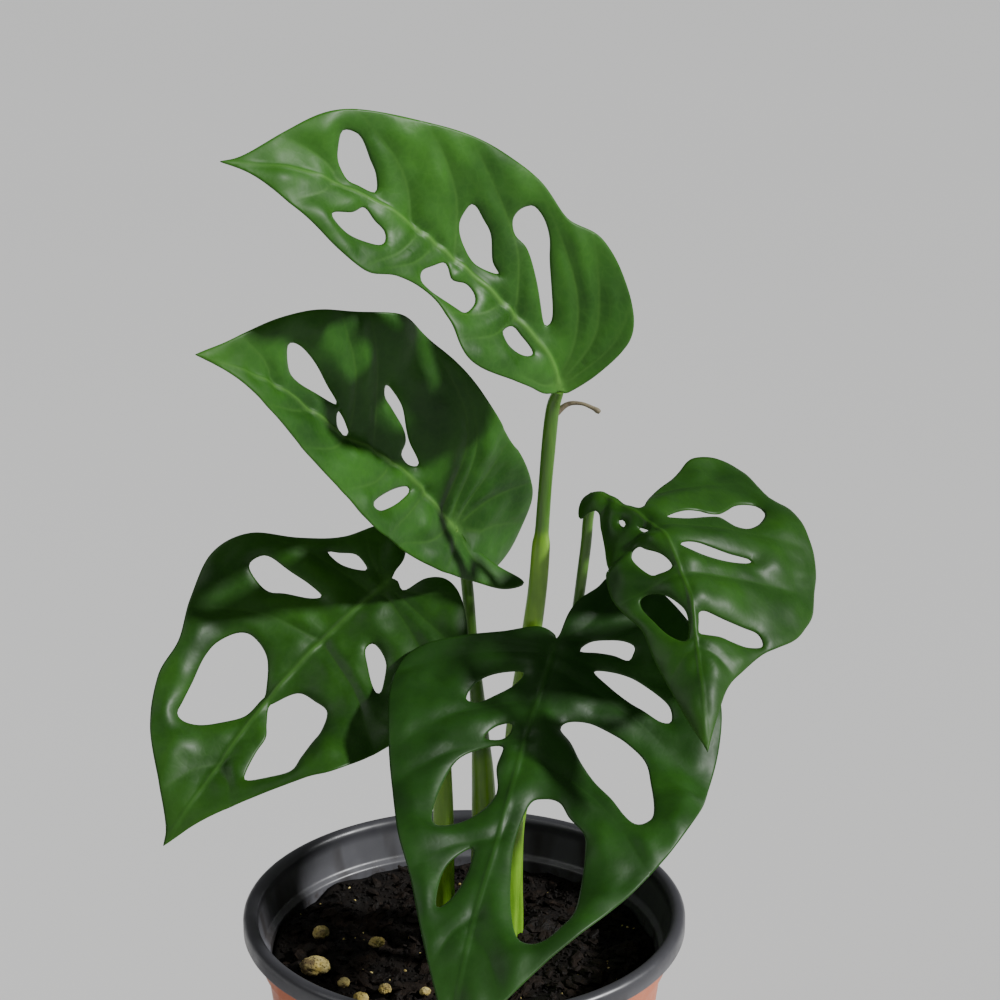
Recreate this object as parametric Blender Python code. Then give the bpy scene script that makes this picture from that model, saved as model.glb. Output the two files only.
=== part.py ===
"""A young monstera adansonii with five leaves, in its round nursery pot.

Design values are in millimetres and turned into metres by MM. The origin is on the pot's
axis at the surface that the pot stands on, +Z is up, and the plant is seen from -Y.

A leaf is drawn flat, as real blades are pressed: u runs along the midrib from the stalk to
the tip, v runs across it, and the flat blade is then bent along a midrib in space.
"""
import math
import random

import bmesh
import bpy
import numpy as np
from mathutils import Vector, geometry

MM = 0.001
GAP = 0.3

# The pot: a thermoformed pot of about 10 cm across its rim.
RIM_RADIUS = 50.0
RIM_TOP = 88.0
ROLL_HEIGHT = 4.6
ROLL_WIDTH = 3.3
ROLL_EDGE = 0.6
LIP_DEPTH = 3.0
WALL = 1.0
WALL_TOP_RADIUS = 45.0
SHOULDER_RADIUS = 46.2
SHOULDER_HEIGHT = 76.0
SHOULDER_STEP = 0.8
INNER_STEP = (1.0, 2.6)
COLLAR_FLARE = 1.1
FOOT_RADIUS = 35.0
FOOT_INSET = 2.0
FLOOR_HEIGHT = 3.0
DRAIN_CIRCLE = 23.0
DRAIN_RADIUS = 3.6
DRAIN_COUNT = 6
POT_SIDES = 48

# The soil fills the pot to a little under its rim.
SOIL_TOP = 75.5
SOIL_BOTTOM = 4.0
SOIL_RINGS = 9
SOIL_SIDES = 40
SOIL_WAVE = 1.6
SOIL_BANK = 1.6
SOIL_CRUMB = 0.7
SOIL_SEED = 7
STEM_DEPTH = 9.0
STEM_PLAY = 0.7

# Pale stones on the soil: place across the pot, half-sizes, and turn. They lie clear of
# the crumb of the soil.
STONE_ROUGHNESS = (0.88, 1.08)
STONE_CLEARANCE = 0.9
STONES = [
    (-33.5, -11.5, 3.7, 2.8, 2.3, 20),
    (-33.0, 4.6, 2.4, 2.0, 1.6, 70),
    (-20.1, 1.8, 2.0, 1.6, 1.3, 10),
    (-26.6, -16.8, 1.7, 1.4, 1.2, 50),
    (-22.6, -21.5, 1.9, 1.5, 1.2, 0),
    (-17.4, -20.3, 1.6, 1.4, 1.2, 30),
    (-8.5, -20.5, 1.4, 1.2, 1.0, 35),
]

BLADE = 0.7
CREASE = 3.0
GRID = 4.3
EDGE_STEP = 3.5
HOLE_STEP = 2.8
LOBE_LENGTH = 20.0

# Each leaf: midrib points in space, the way its face looks at the stalk and at the tip,
# how steeply each half rises from the midrib at the stalk and at the tip (degrees),
# how its basal lobe swings (across, forward), its wave (height, waves, phase), the two
# margins as (u, v), and its holes as (u, v, length, width, turn, egg, bow).
# The left half has v above zero.
LEAVES = {
    "leaf_top": {
        "midrib": [(22, 5, 208), (18, 2, 218), (10, -2, 229), (-7, -11, 247),
                   (-25, -22, 261), (-46, -34, 268)],
        "face": [(0.27, -0.69, 0.68), (0.20, -0.67, 0.72)],
        "rise": {"left": (10, -12), "right": (32, 34)},
        "swing": {"left": (0, 0), "right": (0, 0)},
        "wave": (0.7, 3.5, 0.4),
        "left": [(1, 1), (2, 3), (6, 7), (20, 14.5), (31, 17.5), (39, 13), (46, 11), (56, 12.5),
                 (65, 16), (75, 14), (86, 8.5), (96, 2)],
        "right": [(-1, -1.5), (0, -9), (4, -17.5), (11, -23), (20, -25), (28, -22.5),
                  (38, -25), (48, -24), (63, -20), (78, -15), (89, -7.5), (97, -2)],
        "tip": 102,
        "holes": [(72, -6, 13, 6.6, 319, -0.1, -1.6), (69, 7, 14, 6.5, 7, 0.1, 0.3),
                  (40, -7, 15, 6.0, 331, -0.2, -1.3), (26, -12, 26, 5.3, 327, -0.7, 1.2),
                  (42, 7, 17, 7.0, 12, 0.1, 0.3), (18, 4, 10, 4.5, 7, -0.4, -0.2)],
        "colour": (0.085, 0.20, 0.040),
    },
    "leaf_left": {
        "midrib": [(-1, 16, 173), (-4, 13, 177), (-13, 5, 191), (-26, -7, 204), (-38, -20, 218),
                   (-52, -34, 229)],
        "face": [(0.27, -0.69, 0.68), (0.20, -0.67, 0.72)],
        "rise": {"left": (5, -5), "right": (34, 34)},
        "swing": {"left": (-6, 5), "right": (0, -1)},
        "wave": (0.7, 3.5, 1.6),
        "left": [(-2, 1.2), (-8, 3), (-13, 5.5), (-18.5, 8.5), (-20, 10.5), (-16, 11.3), (-7, 10.5),
                 (4, 12.5), (14, 15), (28, 18), (36, 16.5), (43, 13.5), (56, 10), (70, 6),
                 (82, 1.5)],
        "right": [(-3, -1), (-13, -1), (-17, -5.5), (-18, -10), (-14, -18), (-6, -21.5),
                  (6, -23.5), (18, -24), (31, -27.5), (46, -28), (62, -21), (72, -14), (82, -6)],
        "tip": 91,
        "holes": [(59, -7, 18, 5.4, 348, -0.4, -1.1), (44, -2, 6, 1.9, 160, 0.1, 0.7),
                  (29, -9, 22, 2.6, 324, -0.1, 0.8), (26, 8, 17, 3.6, 37, 0.1, -0.6)],
        "colour": (0.070, 0.17, 0.030),
    },
    "leaf_low_left": {
        "midrib": [(-17, 12, 162), (-31, 2, 152), (-43, -9, 142), (-53, -22, 132),
                   (-63, -35, 121)],
        "face": [(-0.10, -0.85, 0.52), (-0.10, -0.76, 0.65)],
        "rise": {"left": (2, 20), "right": (10, 20)},
        "swing": {"left": (0, 0), "right": (0, -3)},
        "wave": (0.8, 3.0, 2.6),
        "left": [(-2, 1.5), (-1.5, 4), (-7, 5.5), (-10, 9), (-9, 14.5), (-3, 22.5), (7, 30.5),
                 (19, 32), (30, 28.5), (45, 24), (51, 19), (59, 12), (70, 4)],
        "right": [(-3, -0.5), (-7, -1.5), (-10, -5), (-8, -10.5), (0, -14), (8, -20.5),
                  (15, -28), (23, -31), (32, -27.5), (40, -23), (48, -22), (58, -17),
                  (67, -8.5), (74, -2)],
        "tip": 78,
        "holes": [(16, -15, 16, 5.9, 289, -0.4, -0.6), (3, -9, 9, 2.8, 117, 0.0, 0.0),
                  (41, -10, 23, 14.8, 178, -0.2, 2.4), (44.5, 9.3, 24, 12.2, 5, 0.4, -2.0),
                  (16.5, 13.5, 13, 4.0, 231, -0.2, 0.9)],
        "colour": (0.048, 0.13, 0.020),
    },
    "leaf_front": {
        "midrib": [(20, -2, 153), (17, -10, 146), (13, -24, 139), (8, -45, 129), (2, -67, 117),
                   (-2, -88, 104)],
        "face": [(0.0, -0.88, 0.48), (0.0, -0.65, 0.76)],
        "rise": {"left": (-10, 10), "right": (-10, 10)},
        "swing": {"left": (0, 0), "right": (0, 0)},
        "wave": (0.9, 3.0, 0.9),
        "left": [(-3, 0.5), (-8, 1), (-12, 2.5), (-16, 5.5), (-20, 8), (-21.5, 15), (-18, 24),
                 (-10, 34), (-2, 38.5), (10, 41), (20, 41), (33, 39.5), (44, 36), (54, 31),
                 (66, 25), (80, 16.5), (92, 8.5)],
        "right": [(-2.5, -1), (-3, -5), (0, -12), (3, -20), (7, -28), (12, -31.5), (22, -31),
                  (35, -27.5), (46, -24), (58, -20), (68, -14.5), (80, -9), (92, -4)],
        "tip": 102,
        "holes": [(13, -10, 13, 5.2, 134, 0.3, -0.4), (25, -6.3, 6.5, 3.0, 313, 0.2, -0.4),
                  (40, -9.3, 23, 9.6, 343, -0.2, -0.1), (64, -6, 15, 4.0, 170, 0.1, -0.3),
                  (-3, 12, 12.5, 3.9, 285, 0.3, 0.9), (5, 20, 19, 5.2, 74, -0.1, -0.8),
                  (27, 19.7, 31, 13.6, 39, 0.2, -4.0), (58, 11, 37, 15.0, 7, 0.1, -2.0)],
        "colour": (0.028, 0.085, 0.016),
    },
    "leaf_right": {
        "midrib": [(28, 8, 181), (34, 3, 182.5), (39, -2, 182.5), (43, -8, 181), (46, -15, 176.3),
                   (48.4, -22, 170), (49.3, -31, 162), (50.5, -46, 148)],
        "face": [(0.25, -0.65, 0.71), (0.10, -0.76, 0.65)],
        "rise": {"left": (-28, -28), "right": (-28, -28)},
        "swing": {"left": (0, 0), "right": (36, 9)},
        "wave": (0.8, 3.0, 2.0),
        "left": [(4, 1.3), (8.5, 6), (7.5, 14), (5.5, 23), (5, 31), (7.5, 38), (13, 41.3),
                 (21, 42.5), (29, 41.5), (37, 37.5), (43, 31), (48, 20), (55, 11), (63, 4.5)],
        "right": [(-2, -0.8), (-6, -1), (-8.5, -2.5), (-7.5, -5), (-2, -5.3), (3.5, -6.5), (10, -13),
                  (22, -15.3), (32, -16.6), (39, -15), (45, -12), (52, -10), (60, -7), (68, -3.5)],
        "tip": 74,
        "holes": [(9, -3.4, 4, 1.5, 300, 0.0, 0.0), (16, -2.6, 4, 1.4, 0, 0.0, 0.0),
                  (27, -6, 10.5, 5.9, 210, 0.1, -0.5), (42, -7, 12, 10.4, 201, 0.0, 0.7),
                  (16, 23, 25, 2.7, 267, 0.6, -1.0), (27, 13, 20, 3.5, 263, -0.2, -0.2),
                  (45, 10.5, 19, 5.2, 273, -0.2, 1.2)],
        "colour": (0.10, 0.23, 0.045),
    },
}

# Each stalk: its points from the soil to just behind the blade, and its radii there.
STALKS = {
    "stalk_top": [(9.5, 0, 66, 2.3), (9.5, 0, 78, 2.4), (10.5, 1, 101, 2.5), (11.5, 2, 128, 2.4),
                  (14.2, 4.5, 147, 2.3), (16.2, 5.5, 162, 2.1), (17.0, 5.5, 173, 2.0),
                  (17.2, 5.7, 176.5, 1.55), (18.1, 6.2, 190, 1.5), (19.3, 7.4, 203, 1.65),
                  (19.9, 6.3, 209, 1.6)],
    "stalk_left": [(4, 8.5, 66, 2.5), (4, 8.5, 78, 2.7), (4.4, 9, 108, 2.8), (3.5, 11, 127, 1.9),
                   (1.9, 14.5, 145, 1.35), (0.7, 17.5, 159, 1.35), (-0.6, 19.0, 169, 1.3),
                   (-3.2, 16.5, 173, 1.2)],
    "stalk_low_left": [(-4.5, 4, 66, 2.0), (-4.5, 4, 78, 2.2), (-4.7, 4.5, 108, 2.3),
                       (-5.2, 8.5, 128, 1.6), (-9, 12.5, 141, 1.3), (-13.2, 15.2, 150.5, 1.3),
                       (-16, 15.6, 157.5, 1.3), (-18, 13.1, 160, 1.2)],
    "stalk_front": [(4.5, -7, 66, 1.8), (4.5, -7, 78, 1.9), (8, -6, 101, 1.6),
                    (11, -4.5, 117, 1.4), (14.6, -1.5, 134, 1.2), (18, 1.6, 145, 1.2),
                    (19.6, 1.8, 149.3, 1.2), (19.5, -1.2, 151, 1.1)],
    "stalk_right": [(11.5, 8.5, 66, 1.8), (11.5, 8.5, 78, 1.9), (12.2, 8.5, 106, 1.7),
                    (19, 8.5, 127, 1.3), (24, 9.3, 149, 1.2), (26.7, 10.3, 169, 1.2),
                    (27.7, 10.6, 176.5, 1.2), (29.6, 7.9, 179.5, 1.1)],
}
# A dried stipule that stands off the top of the tallest stalk, and its radii.
STIPULE = [(19.6, 8, 202.0, 0.7), (22.5, 8, 204.4, 0.55), (25.5, 8, 204.6, 0.42),
           (28.0, 8, 203.6, 0.5), (29.2, 8, 202.9, 0.6)]
STALK_SIDES = 9
STALK_RINGS = 20

# The crown: the foot of the stem between the stalks.
CROWN = (2.5, 0.5)
CROWN_RADIUS = 2.9
CROWN_TOP = 83.0


def unit(vectors):
    """Vectors of length one."""
    return vectors / np.linalg.norm(vectors, axis=-1, keepdims=True)


def curve_through(points, per_span=12, closed=False):
    """Points on a smooth curve through the given ones."""
    given = np.array(points, float)
    if closed:
        padded = np.vstack([given[-1:], given, given[:2]])
    else:
        padded = np.vstack([2 * given[0] - given[1], given, 2 * given[-1] - given[-2]])
    steps = np.linspace(0, 1, per_span, endpoint=False)[:, None]
    spans = []
    for a, b, c, d in zip(padded, padded[1:], padded[2:], padded[3:]):
        spans.append(0.5 * (2 * b + (c - a) * steps + (2 * a - 5 * b + 4 * c - d) * steps ** 2
                            + (3 * b - a - 3 * c + d) * steps ** 3))
    if not closed:
        spans.append(given[-1:])
    return np.vstack(spans)


def evenly(points, step, closed=False):
    """The same curve with points about one step apart."""
    if closed:
        points = np.vstack([points, points[:1]])
    run = np.concatenate([[0], np.cumsum(np.linalg.norm(np.diff(points, axis=0), axis=1))])
    count = max(int(round(run[-1] / step)), 6)
    at = np.linspace(0, run[-1], count + 1)
    if closed:
        at = at[:-1]
    return np.stack([np.interp(at, run, points[:, k]) for k in range(points.shape[1])], -1)


def new_object(name, verts, faces, colour, roughness, metallic=0.0):
    """A mesh object with its own material, from points in millimetres."""
    mesh = bpy.data.meshes.new(name)
    mesh.from_pydata([tuple(MM * float(c) for c in v) for v in verts], [], faces)
    mesh.validate()
    mesh.shade_smooth()
    mesh.set_sharp_from_angle(angle=math.radians(40))
    material = bpy.data.materials.new(name)
    material.use_nodes = True
    finish = material.node_tree.nodes["Principled BSDF"]
    finish.inputs["Base Color"].default_value = (*colour, 1)
    finish.inputs["Roughness"].default_value = roughness
    finish.inputs["Metallic"].default_value = metallic
    mesh.materials.append(material)
    obj = bpy.data.objects.new(name, mesh)
    bpy.context.scene.collection.objects.link(obj)
    return obj


def join(obj, helpers, operation, solver="EXACT"):
    """Cuts the given helper objects out of obj, or fuses them to it, and removes them."""
    for helper in helpers:
        boolean = obj.modifiers.new(operation.lower(), "BOOLEAN")
        boolean.operation = operation
        boolean.solver = solver
        boolean.object = helper
    graph = bpy.context.evaluated_depsgraph_get()
    mesh = bpy.data.meshes.new_from_object(obj.evaluated_get(graph))
    obj.modifiers.clear()
    obj.data = mesh
    for helper in helpers:
        bpy.data.objects.remove(helper)


def cylinder(name, centre, radius, low, high, sides=16):
    """An upright cylinder that is used as a cutter."""
    rings = []
    for z in (low, high):
        for i in range(sides):
            angle = 2 * math.pi * i / sides
            rings.append((centre[0] + radius * math.cos(angle),
                          centre[1] + radius * math.sin(angle), z))
    faces = [(i, (i + 1) % sides, sides + (i + 1) % sides, sides + i) for i in range(sides)]
    faces.append(tuple(reversed(range(sides))))
    faces.append(tuple(range(sides, 2 * sides)))
    obj = new_object(name, rings, faces, (1, 1, 1), 0.5)
    obj.hide_render = True
    obj.display_type = "WIRE"
    return obj


def turned(name, profile, sides, colour, roughness):
    """A body turned from a closed profile of (radius, height) that meets the axis at each end."""
    verts = []
    for radius, z in profile[1:-1]:
        for i in range(sides):
            angle = 2 * math.pi * i / sides
            verts.append((radius * math.cos(angle), radius * math.sin(angle), z))
    rows = len(profile) - 2
    faces = []
    for r in range(rows - 1):
        for i in range(sides):
            j = (i + 1) % sides
            faces.append((r * sides + i, r * sides + j, (r + 1) * sides + j, (r + 1) * sides + i))
    first = len(verts)
    verts.append((0, 0, profile[0][1]))
    verts.append((0, 0, profile[-1][1]))
    for i in range(sides):
        j = (i + 1) % sides
        faces.append((first, j, i))
        faces.append((first + 1, (rows - 1) * sides + i, (rows - 1) * sides + j))
    return new_object(name, verts, faces, colour, roughness)


def outer_radius(z):
    """The radius of the pot's tapered wall at a height."""
    share = min(z / SHOULDER_HEIGHT, 1.0)
    return FOOT_RADIUS + (WALL_TOP_RADIUS - FOOT_RADIUS) * share


def inner_radius(z):
    """The radius of the pot's inside at a height below the shoulder."""
    return outer_radius(z) - WALL


def rim_roll():
    """The rolled lip in section, from its outer foot over the top to the inside."""
    middle = RIM_RADIUS - ROLL_WIDTH / 2
    low = RIM_TOP - ROLL_HEIGHT
    points = [(RIM_RADIUS - ROLL_EDGE, low), (RIM_RADIUS, low + ROLL_EDGE)]
    crown = RIM_TOP - ROLL_WIDTH / 2
    for degrees in (0, 30, 60, 90, 120, 150, 180):
        angle = math.radians(degrees)
        points.append((middle + ROLL_WIDTH / 2 * math.cos(angle),
                       crown + ROLL_WIDTH / 2 * math.sin(angle)))
    return points


def make_pot():
    """The pot: foot, tapered wall, shoulder step, rolled rim, and the inside."""
    profile = [(0, 0), (FOOT_RADIUS - FOOT_INSET, 0), (FOOT_RADIUS, FOOT_INSET),
               (outer_radius(10), 10), (outer_radius(40), 40),
               (outer_radius(SHOULDER_HEIGHT), SHOULDER_HEIGHT),
               (SHOULDER_RADIUS, SHOULDER_HEIGHT + SHOULDER_STEP),
               (SHOULDER_RADIUS + COLLAR_FLARE, RIM_TOP - ROLL_HEIGHT)]
    profile += rim_roll()
    step_low, step_high = INNER_STEP
    profile += [(RIM_RADIUS - ROLL_WIDTH, RIM_TOP - LIP_DEPTH),
                (SHOULDER_RADIUS - WALL, SHOULDER_HEIGHT + step_high),
                (inner_radius(SHOULDER_HEIGHT), SHOULDER_HEIGHT + step_low),
                (inner_radius(40), 40), (inner_radius(FLOOR_HEIGHT + 1), FLOOR_HEIGHT + 1),
                (inner_radius(FLOOR_HEIGHT) - 1, FLOOR_HEIGHT), (0, FLOOR_HEIGHT)]
    pot = turned("pot", profile, POT_SIDES, (0.55, 0.16, 0.06), 0.4)
    drains = []
    for i in range(DRAIN_COUNT):
        angle = 2 * math.pi * (i + 0.5) / DRAIN_COUNT
        centre = (DRAIN_CIRCLE * math.cos(angle), DRAIN_CIRCLE * math.sin(angle))
        drains.append(cylinder("drain", centre, DRAIN_RADIUS, -1, FLOOR_HEIGHT + 1, 12))
    join(pot, drains, "DIFFERENCE", "MANIFOLD")


def soil_height(x, y):
    """The uneven top of the soil, banked up a little at the back and left."""
    bumps = (math.sin(0.21 * x + 1.3) * math.cos(0.17 * y + 0.5)
             + 0.6 * math.sin(0.37 * x - 0.31 * y))
    bank = -0.6 * x / RIM_RADIUS + 0.8 * y / RIM_RADIUS
    return SOIL_TOP + SOIL_WAVE * 0.6 * bumps + SOIL_BANK * bank


def make_soil():
    """The soil: an uneven disc that follows the pot's inside, with a hole for each stem."""
    draw = random.Random(SOIL_SEED)
    top_radius = inner_radius(SOIL_TOP - 4) - GAP
    verts = []
    for ring in range(1, SOIL_RINGS + 1):
        radius = top_radius * ring / SOIL_RINGS
        for i in range(SOIL_SIDES):
            angle = 2 * math.pi * i / SOIL_SIDES
            x, y = radius * math.cos(angle), radius * math.sin(angle)
            crumb = draw.uniform(-SOIL_CRUMB, SOIL_CRUMB) if ring < SOIL_RINGS else 0
            z = soil_height(x, y) + crumb
            verts.append((x, y, z))
    low = SOIL_BOTTOM + GAP
    bottom = inner_radius(low) - 2 * GAP - 1
    for i in range(SOIL_SIDES):
        angle = 2 * math.pi * i / SOIL_SIDES
        verts.append((bottom * math.cos(angle), bottom * math.sin(angle), low))
    faces = []
    for ring in range(SOIL_RINGS):
        for i in range(SOIL_SIDES):
            j = (i + 1) % SOIL_SIDES
            inner, outer = ring * SOIL_SIDES, (ring + 1) * SOIL_SIDES
            faces.append((inner + i, outer + i, outer + j, inner + j))
    middle = len(verts)
    verts.append((0, 0, soil_height(0, 0)))
    verts.append((0, 0, low))
    last = SOIL_RINGS * SOIL_SIDES
    for i in range(SOIL_SIDES):
        j = (i + 1) % SOIL_SIDES
        faces.append((middle, i, j))
        faces.append((middle + 1, last + j, last + i))
    soil = new_object("soil", verts, faces, (0.018, 0.013, 0.010), 0.95)
    holes = [cylinder("hole", CROWN, CROWN_RADIUS + STEM_PLAY, SOIL_TOP - STEM_DEPTH - 1, 90)]
    for points in STALKS.values():
        x, y, _, radius = points[0]
        holes.append(cylinder("hole", (x, y), radius + STEM_PLAY, SOIL_TOP - STEM_DEPTH - 1, 90))
    join(soil, holes, "DIFFERENCE")


def ringed(name, centres, radii, sides, colour, roughness):
    """A round body through rings along a path, closed at both ends."""
    along = unit(np.gradient(centres, axis=0))
    across = unit(np.cross(along, (0.0, 1.0, 0.15)))
    other = np.cross(along, across)
    verts = []
    for centre, radius, a, b in zip(centres, radii, across, other):
        for i in range(sides):
            angle = 2 * math.pi * i / sides
            verts.append(centre + radius * (math.cos(angle) * a + math.sin(angle) * b))
    faces = []
    for r in range(len(centres) - 1):
        for i in range(sides):
            j = (i + 1) % sides
            faces.append((r * sides + i, r * sides + j, (r + 1) * sides + j, (r + 1) * sides + i))
    faces.append(tuple(reversed(range(sides))))
    faces.append(tuple(range((len(centres) - 1) * sides, len(centres) * sides)))
    return new_object(name, verts, faces, colour, roughness)


def make_crown():
    """The rounded foot of the stem, standing in its hole in the soil."""
    low = SOIL_TOP - STEM_DEPTH
    shape = [(low, 0.9), (SOIL_TOP, 1.0), (CROWN_TOP - 2, 0.95), (CROWN_TOP - 0.6, 0.7),
             (CROWN_TOP, 0.35)]
    centres = np.array([(*CROWN, z) for z, _ in shape])
    radii = [CROWN_RADIUS * share for _, share in shape]
    ringed("crown", centres, radii, 12, (0.20, 0.22, 0.06), 0.5)


def make_stalks():
    """The five leaf stalks, wide in their sheaths and slim above, the tallest with its stipule."""
    for name, points in STALKS.items():
        path = evenly(curve_through(points), 3.0)
        keep = np.linspace(0, len(path) - 1, STALK_RINGS).round().astype(int)
        path = path[keep]
        ringed(name, path[:, :3], path[:, 3], STALK_SIDES, (0.20, 0.30, 0.07), 0.45)
    path = evenly(curve_through(STIPULE), 1.5)
    stipule = ringed("stipule", path[:, :3], path[:, 3], 6, (0.20, 0.15, 0.07), 0.6)
    join(bpy.data.objects["stalk_top"], [stipule], "UNION")


def make_stones():
    """Pale stones that lie on the soil, each a rounded lump."""
    for number, (x, y, a, b, c, turn) in enumerate(STONES, 1):
        draw = random.Random(number)
        work = bmesh.new()
        bmesh.ops.create_icosphere(work, subdivisions=2, radius=1.0)
        turned_by = math.radians(turn)
        verts = []
        for v in work.verts:
            rough = draw.uniform(*STONE_ROUGHNESS)
            px, py, pz = v.co.x * a * rough, v.co.y * b * rough, v.co.z * c * rough
            verts.append((px * math.cos(turned_by) - py * math.sin(turned_by) + x,
                          px * math.sin(turned_by) + py * math.cos(turned_by) + y, pz))
        faces = [tuple(v.index for v in f.verts) for f in work.faces]
        work.free()
        ground = max(soil_height(v[0], v[1]) - v[2] for v in verts if v[2] < 0)
        verts = [(px, py, pz + ground + STONE_CLEARANCE) for px, py, pz in verts]
        new_object(f"perlite_{number}", verts, faces, (0.62, 0.55, 0.32), 0.9)


class Midrib:
    """A midrib in space, with the blade's two halves hung on it."""

    def __init__(self, leaf):
        self.leaf = leaf
        self.points = curve_through(leaf["midrib"], 24)
        steps = np.linalg.norm(np.diff(self.points, axis=0), axis=1)
        self.run = np.concatenate([[0], np.cumsum(steps)])
        self.length = self.run[-1]

    def place(self, u):
        return np.stack([np.interp(u, self.run, self.points[:, k]) for k in range(3)], -1)

    def along(self, u):
        low = np.clip(u - 3, 0, self.length)
        high = np.clip(u + 3, 0, self.length)
        return unit(self.place(high) - self.place(low))

    def bend(self, u, v):
        """Where the flat blade's points (u, v) come to lie."""
        leaf = self.leaf
        held = np.clip(u, 0, self.length)
        share = held / self.length
        tangent = self.along(held)
        faces = np.array(leaf["face"], float)
        normal = faces[0] * (1 - share[:, None]) + faces[1] * share[:, None]
        normal = unit(normal - (normal * tangent).sum(1)[:, None] * tangent)
        across = np.cross(normal, tangent)
        rise, swing, forward = np.zeros_like(u), np.zeros_like(u), np.zeros_like(u)
        behind = np.clip(-u / LOBE_LENGTH, 0, 2) ** 2
        for side, here in (("left", v >= 0), ("right", v < 0)):
            start, end = leaf["rise"][side]
            rise[here] = np.radians(start + (end - start) * share[here])
            swing[here] = leaf["swing"][side][0] * behind[here]
            forward[here] = leaf["swing"][side][1] * behind[here]
        height, waves, phase = leaf["wave"]
        width = np.abs(v)
        ripple = height * np.sin(2 * math.pi * waves * share + phase + (v < 0) * 1.7)
        ripple = ripple * (width / 25.0) ** 1.5
        lift = np.sin(rise) * (np.hypot(width, CREASE) - CREASE) + ripple + forward
        sideways = v * np.cos(rise) + swing
        beyond = (u - held)[:, None] * tangent
        return self.place(held) + beyond + sideways[:, None] * across + lift[:, None] * normal


def hole_outline(hole):
    """A leaf hole: an egg shape with a bow, turned in the flat blade."""
    u, v, length, width, turn, egg, bow = hole
    angle = np.linspace(0, 2 * math.pi, 72, endpoint=False)
    x = length / 2 * np.cos(angle)
    y = width / 2 * np.sin(angle) * (1 - egg * np.cos(angle))
    y = y + bow * (np.cos(angle) ** 2 - 0.5)
    c, s = math.cos(math.radians(turn)), math.sin(math.radians(turn))
    loop = np.stack([u + x * c - y * s, v + x * s + y * c], -1)
    return evenly(loop, HOLE_STEP, closed=True)


def blade_outline(leaf):
    """The flat margin, from the notch at the stalk round the left half, tip and right half."""
    tip = [(leaf["tip"], 0.0)]
    left = evenly(curve_through([(1.5, 0.0)] + leaf["left"] + tip), EDGE_STEP)
    right = evenly(curve_through([(1.5, 0.0)] + leaf["right"] + tip), EDGE_STEP)
    return np.vstack([left, right[-2:0:-1]])


def flat_blade(leaf):
    """The flat blade as points and triangles, with its holes left open."""
    outline = blade_outline(leaf)
    loops = [outline] + [hole_outline(hole) for hole in leaf["holes"]]
    points = list(np.vstack(loops))
    edges, start = [], 0
    for loop in loops:
        count = len(loop)
        edges += [(start + i, start + (i + 1) % count) for i in range(count)]
        start += count
    border = np.array(points)
    low, high = border.min(0), border.max(0)
    for row, u in enumerate(np.arange(low[0], high[0], GRID * 0.87)):
        for v in np.arange(-60 + GRID / 2 * (row % 2), 60, GRID):
            if low[1] < v < high[1] and np.hypot(*(border - (u, v)).T).min() > GRID * 0.55:
                points.append(np.array((u, v)))
    verts, _, faces, *_ = geometry.delaunay_2d_cdt(
        [Vector(p) for p in points], edges, [], 0, 1e-5)
    flat = np.array([tuple(v) for v in verts])
    kept = []
    for face in faces:
        middle = flat[list(face)].mean(0)
        if inside(middle, outline) and not any(inside(middle, loop) for loop in loops[1:]):
            kept.append(tuple(face))
    used = sorted({i for face in kept for i in face})
    new_index = {old: new for new, old in enumerate(used)}
    return flat[used], [tuple(new_index[i] for i in face) for face in kept]


def inside(point, loop):
    """Whether a flat point lies in a closed loop."""
    x, y = loop[:, 0], loop[:, 1]
    x2, y2 = np.roll(x, -1), np.roll(y, -1)
    spans = (y > point[1]) != (y2 > point[1])
    crossing = x + (point[1] - y) * (x2 - x) / np.where(spans, y2 - y, 1)
    return bool((spans & (point[0] < crossing)).sum() % 2)


def make_leaf(name, leaf):
    """A blade of even thickness, split alike on both faces."""
    flat, faces = flat_blade(leaf)
    middle = Midrib(leaf).bend(flat[:, 0], flat[:, 1])
    faces = np.array(faces)
    normals = np.zeros_like(middle)
    a, b, c = (middle[faces[:, k]] for k in range(3))
    for k in range(3):
        np.add.at(normals, faces[:, k], np.cross(b - a, c - a))
    normals = unit(normals)
    count = len(middle)
    verts = np.vstack([middle + normals * BLADE / 2, middle - normals * BLADE / 2])
    border = {}
    for face in faces:
        for i, j in zip(face, np.roll(face, -1)):
            border[(i, j)] = border.get((j, i)) is None
            if not border[(i, j)]:
                border[(j, i)] = False
    all_faces = [tuple(int(i) for i in face) for face in faces]
    all_faces += [tuple(int(i) + count for i in face[::-1]) for face in faces]
    for (i, j), single in border.items():
        if single:
            all_faces.append((int(j), int(i), int(i) + count))
            all_faces.append((int(j), int(i) + count, int(j) + count))
    new_object(name, verts, all_faces, leaf["colour"], 0.38)


def main():
    for obj in list(bpy.data.objects):
        bpy.data.objects.remove(obj)
    make_pot()
    make_soil()
    make_crown()
    make_stalks()
    make_stones()
    for name, leaf in LEAVES.items():
        make_leaf(name, leaf)


main()
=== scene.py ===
# %% [markdown]
# # A young monstera adansonii in its nursery pot
# Five perforated leaves stand on slim stalks in a two-tone pot of dark soil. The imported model
# gives plain solids with their true places and sizes. Each cell below takes one of them and
# dresses it: finer form first, finish second. Lengths are in millimetres until a mesh is made,
# the pot stands at the origin and +Z is up.

# %% Load the frame
import math

import bpy
import numpy as np
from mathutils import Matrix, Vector, geometry, kdtree, noise


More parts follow.
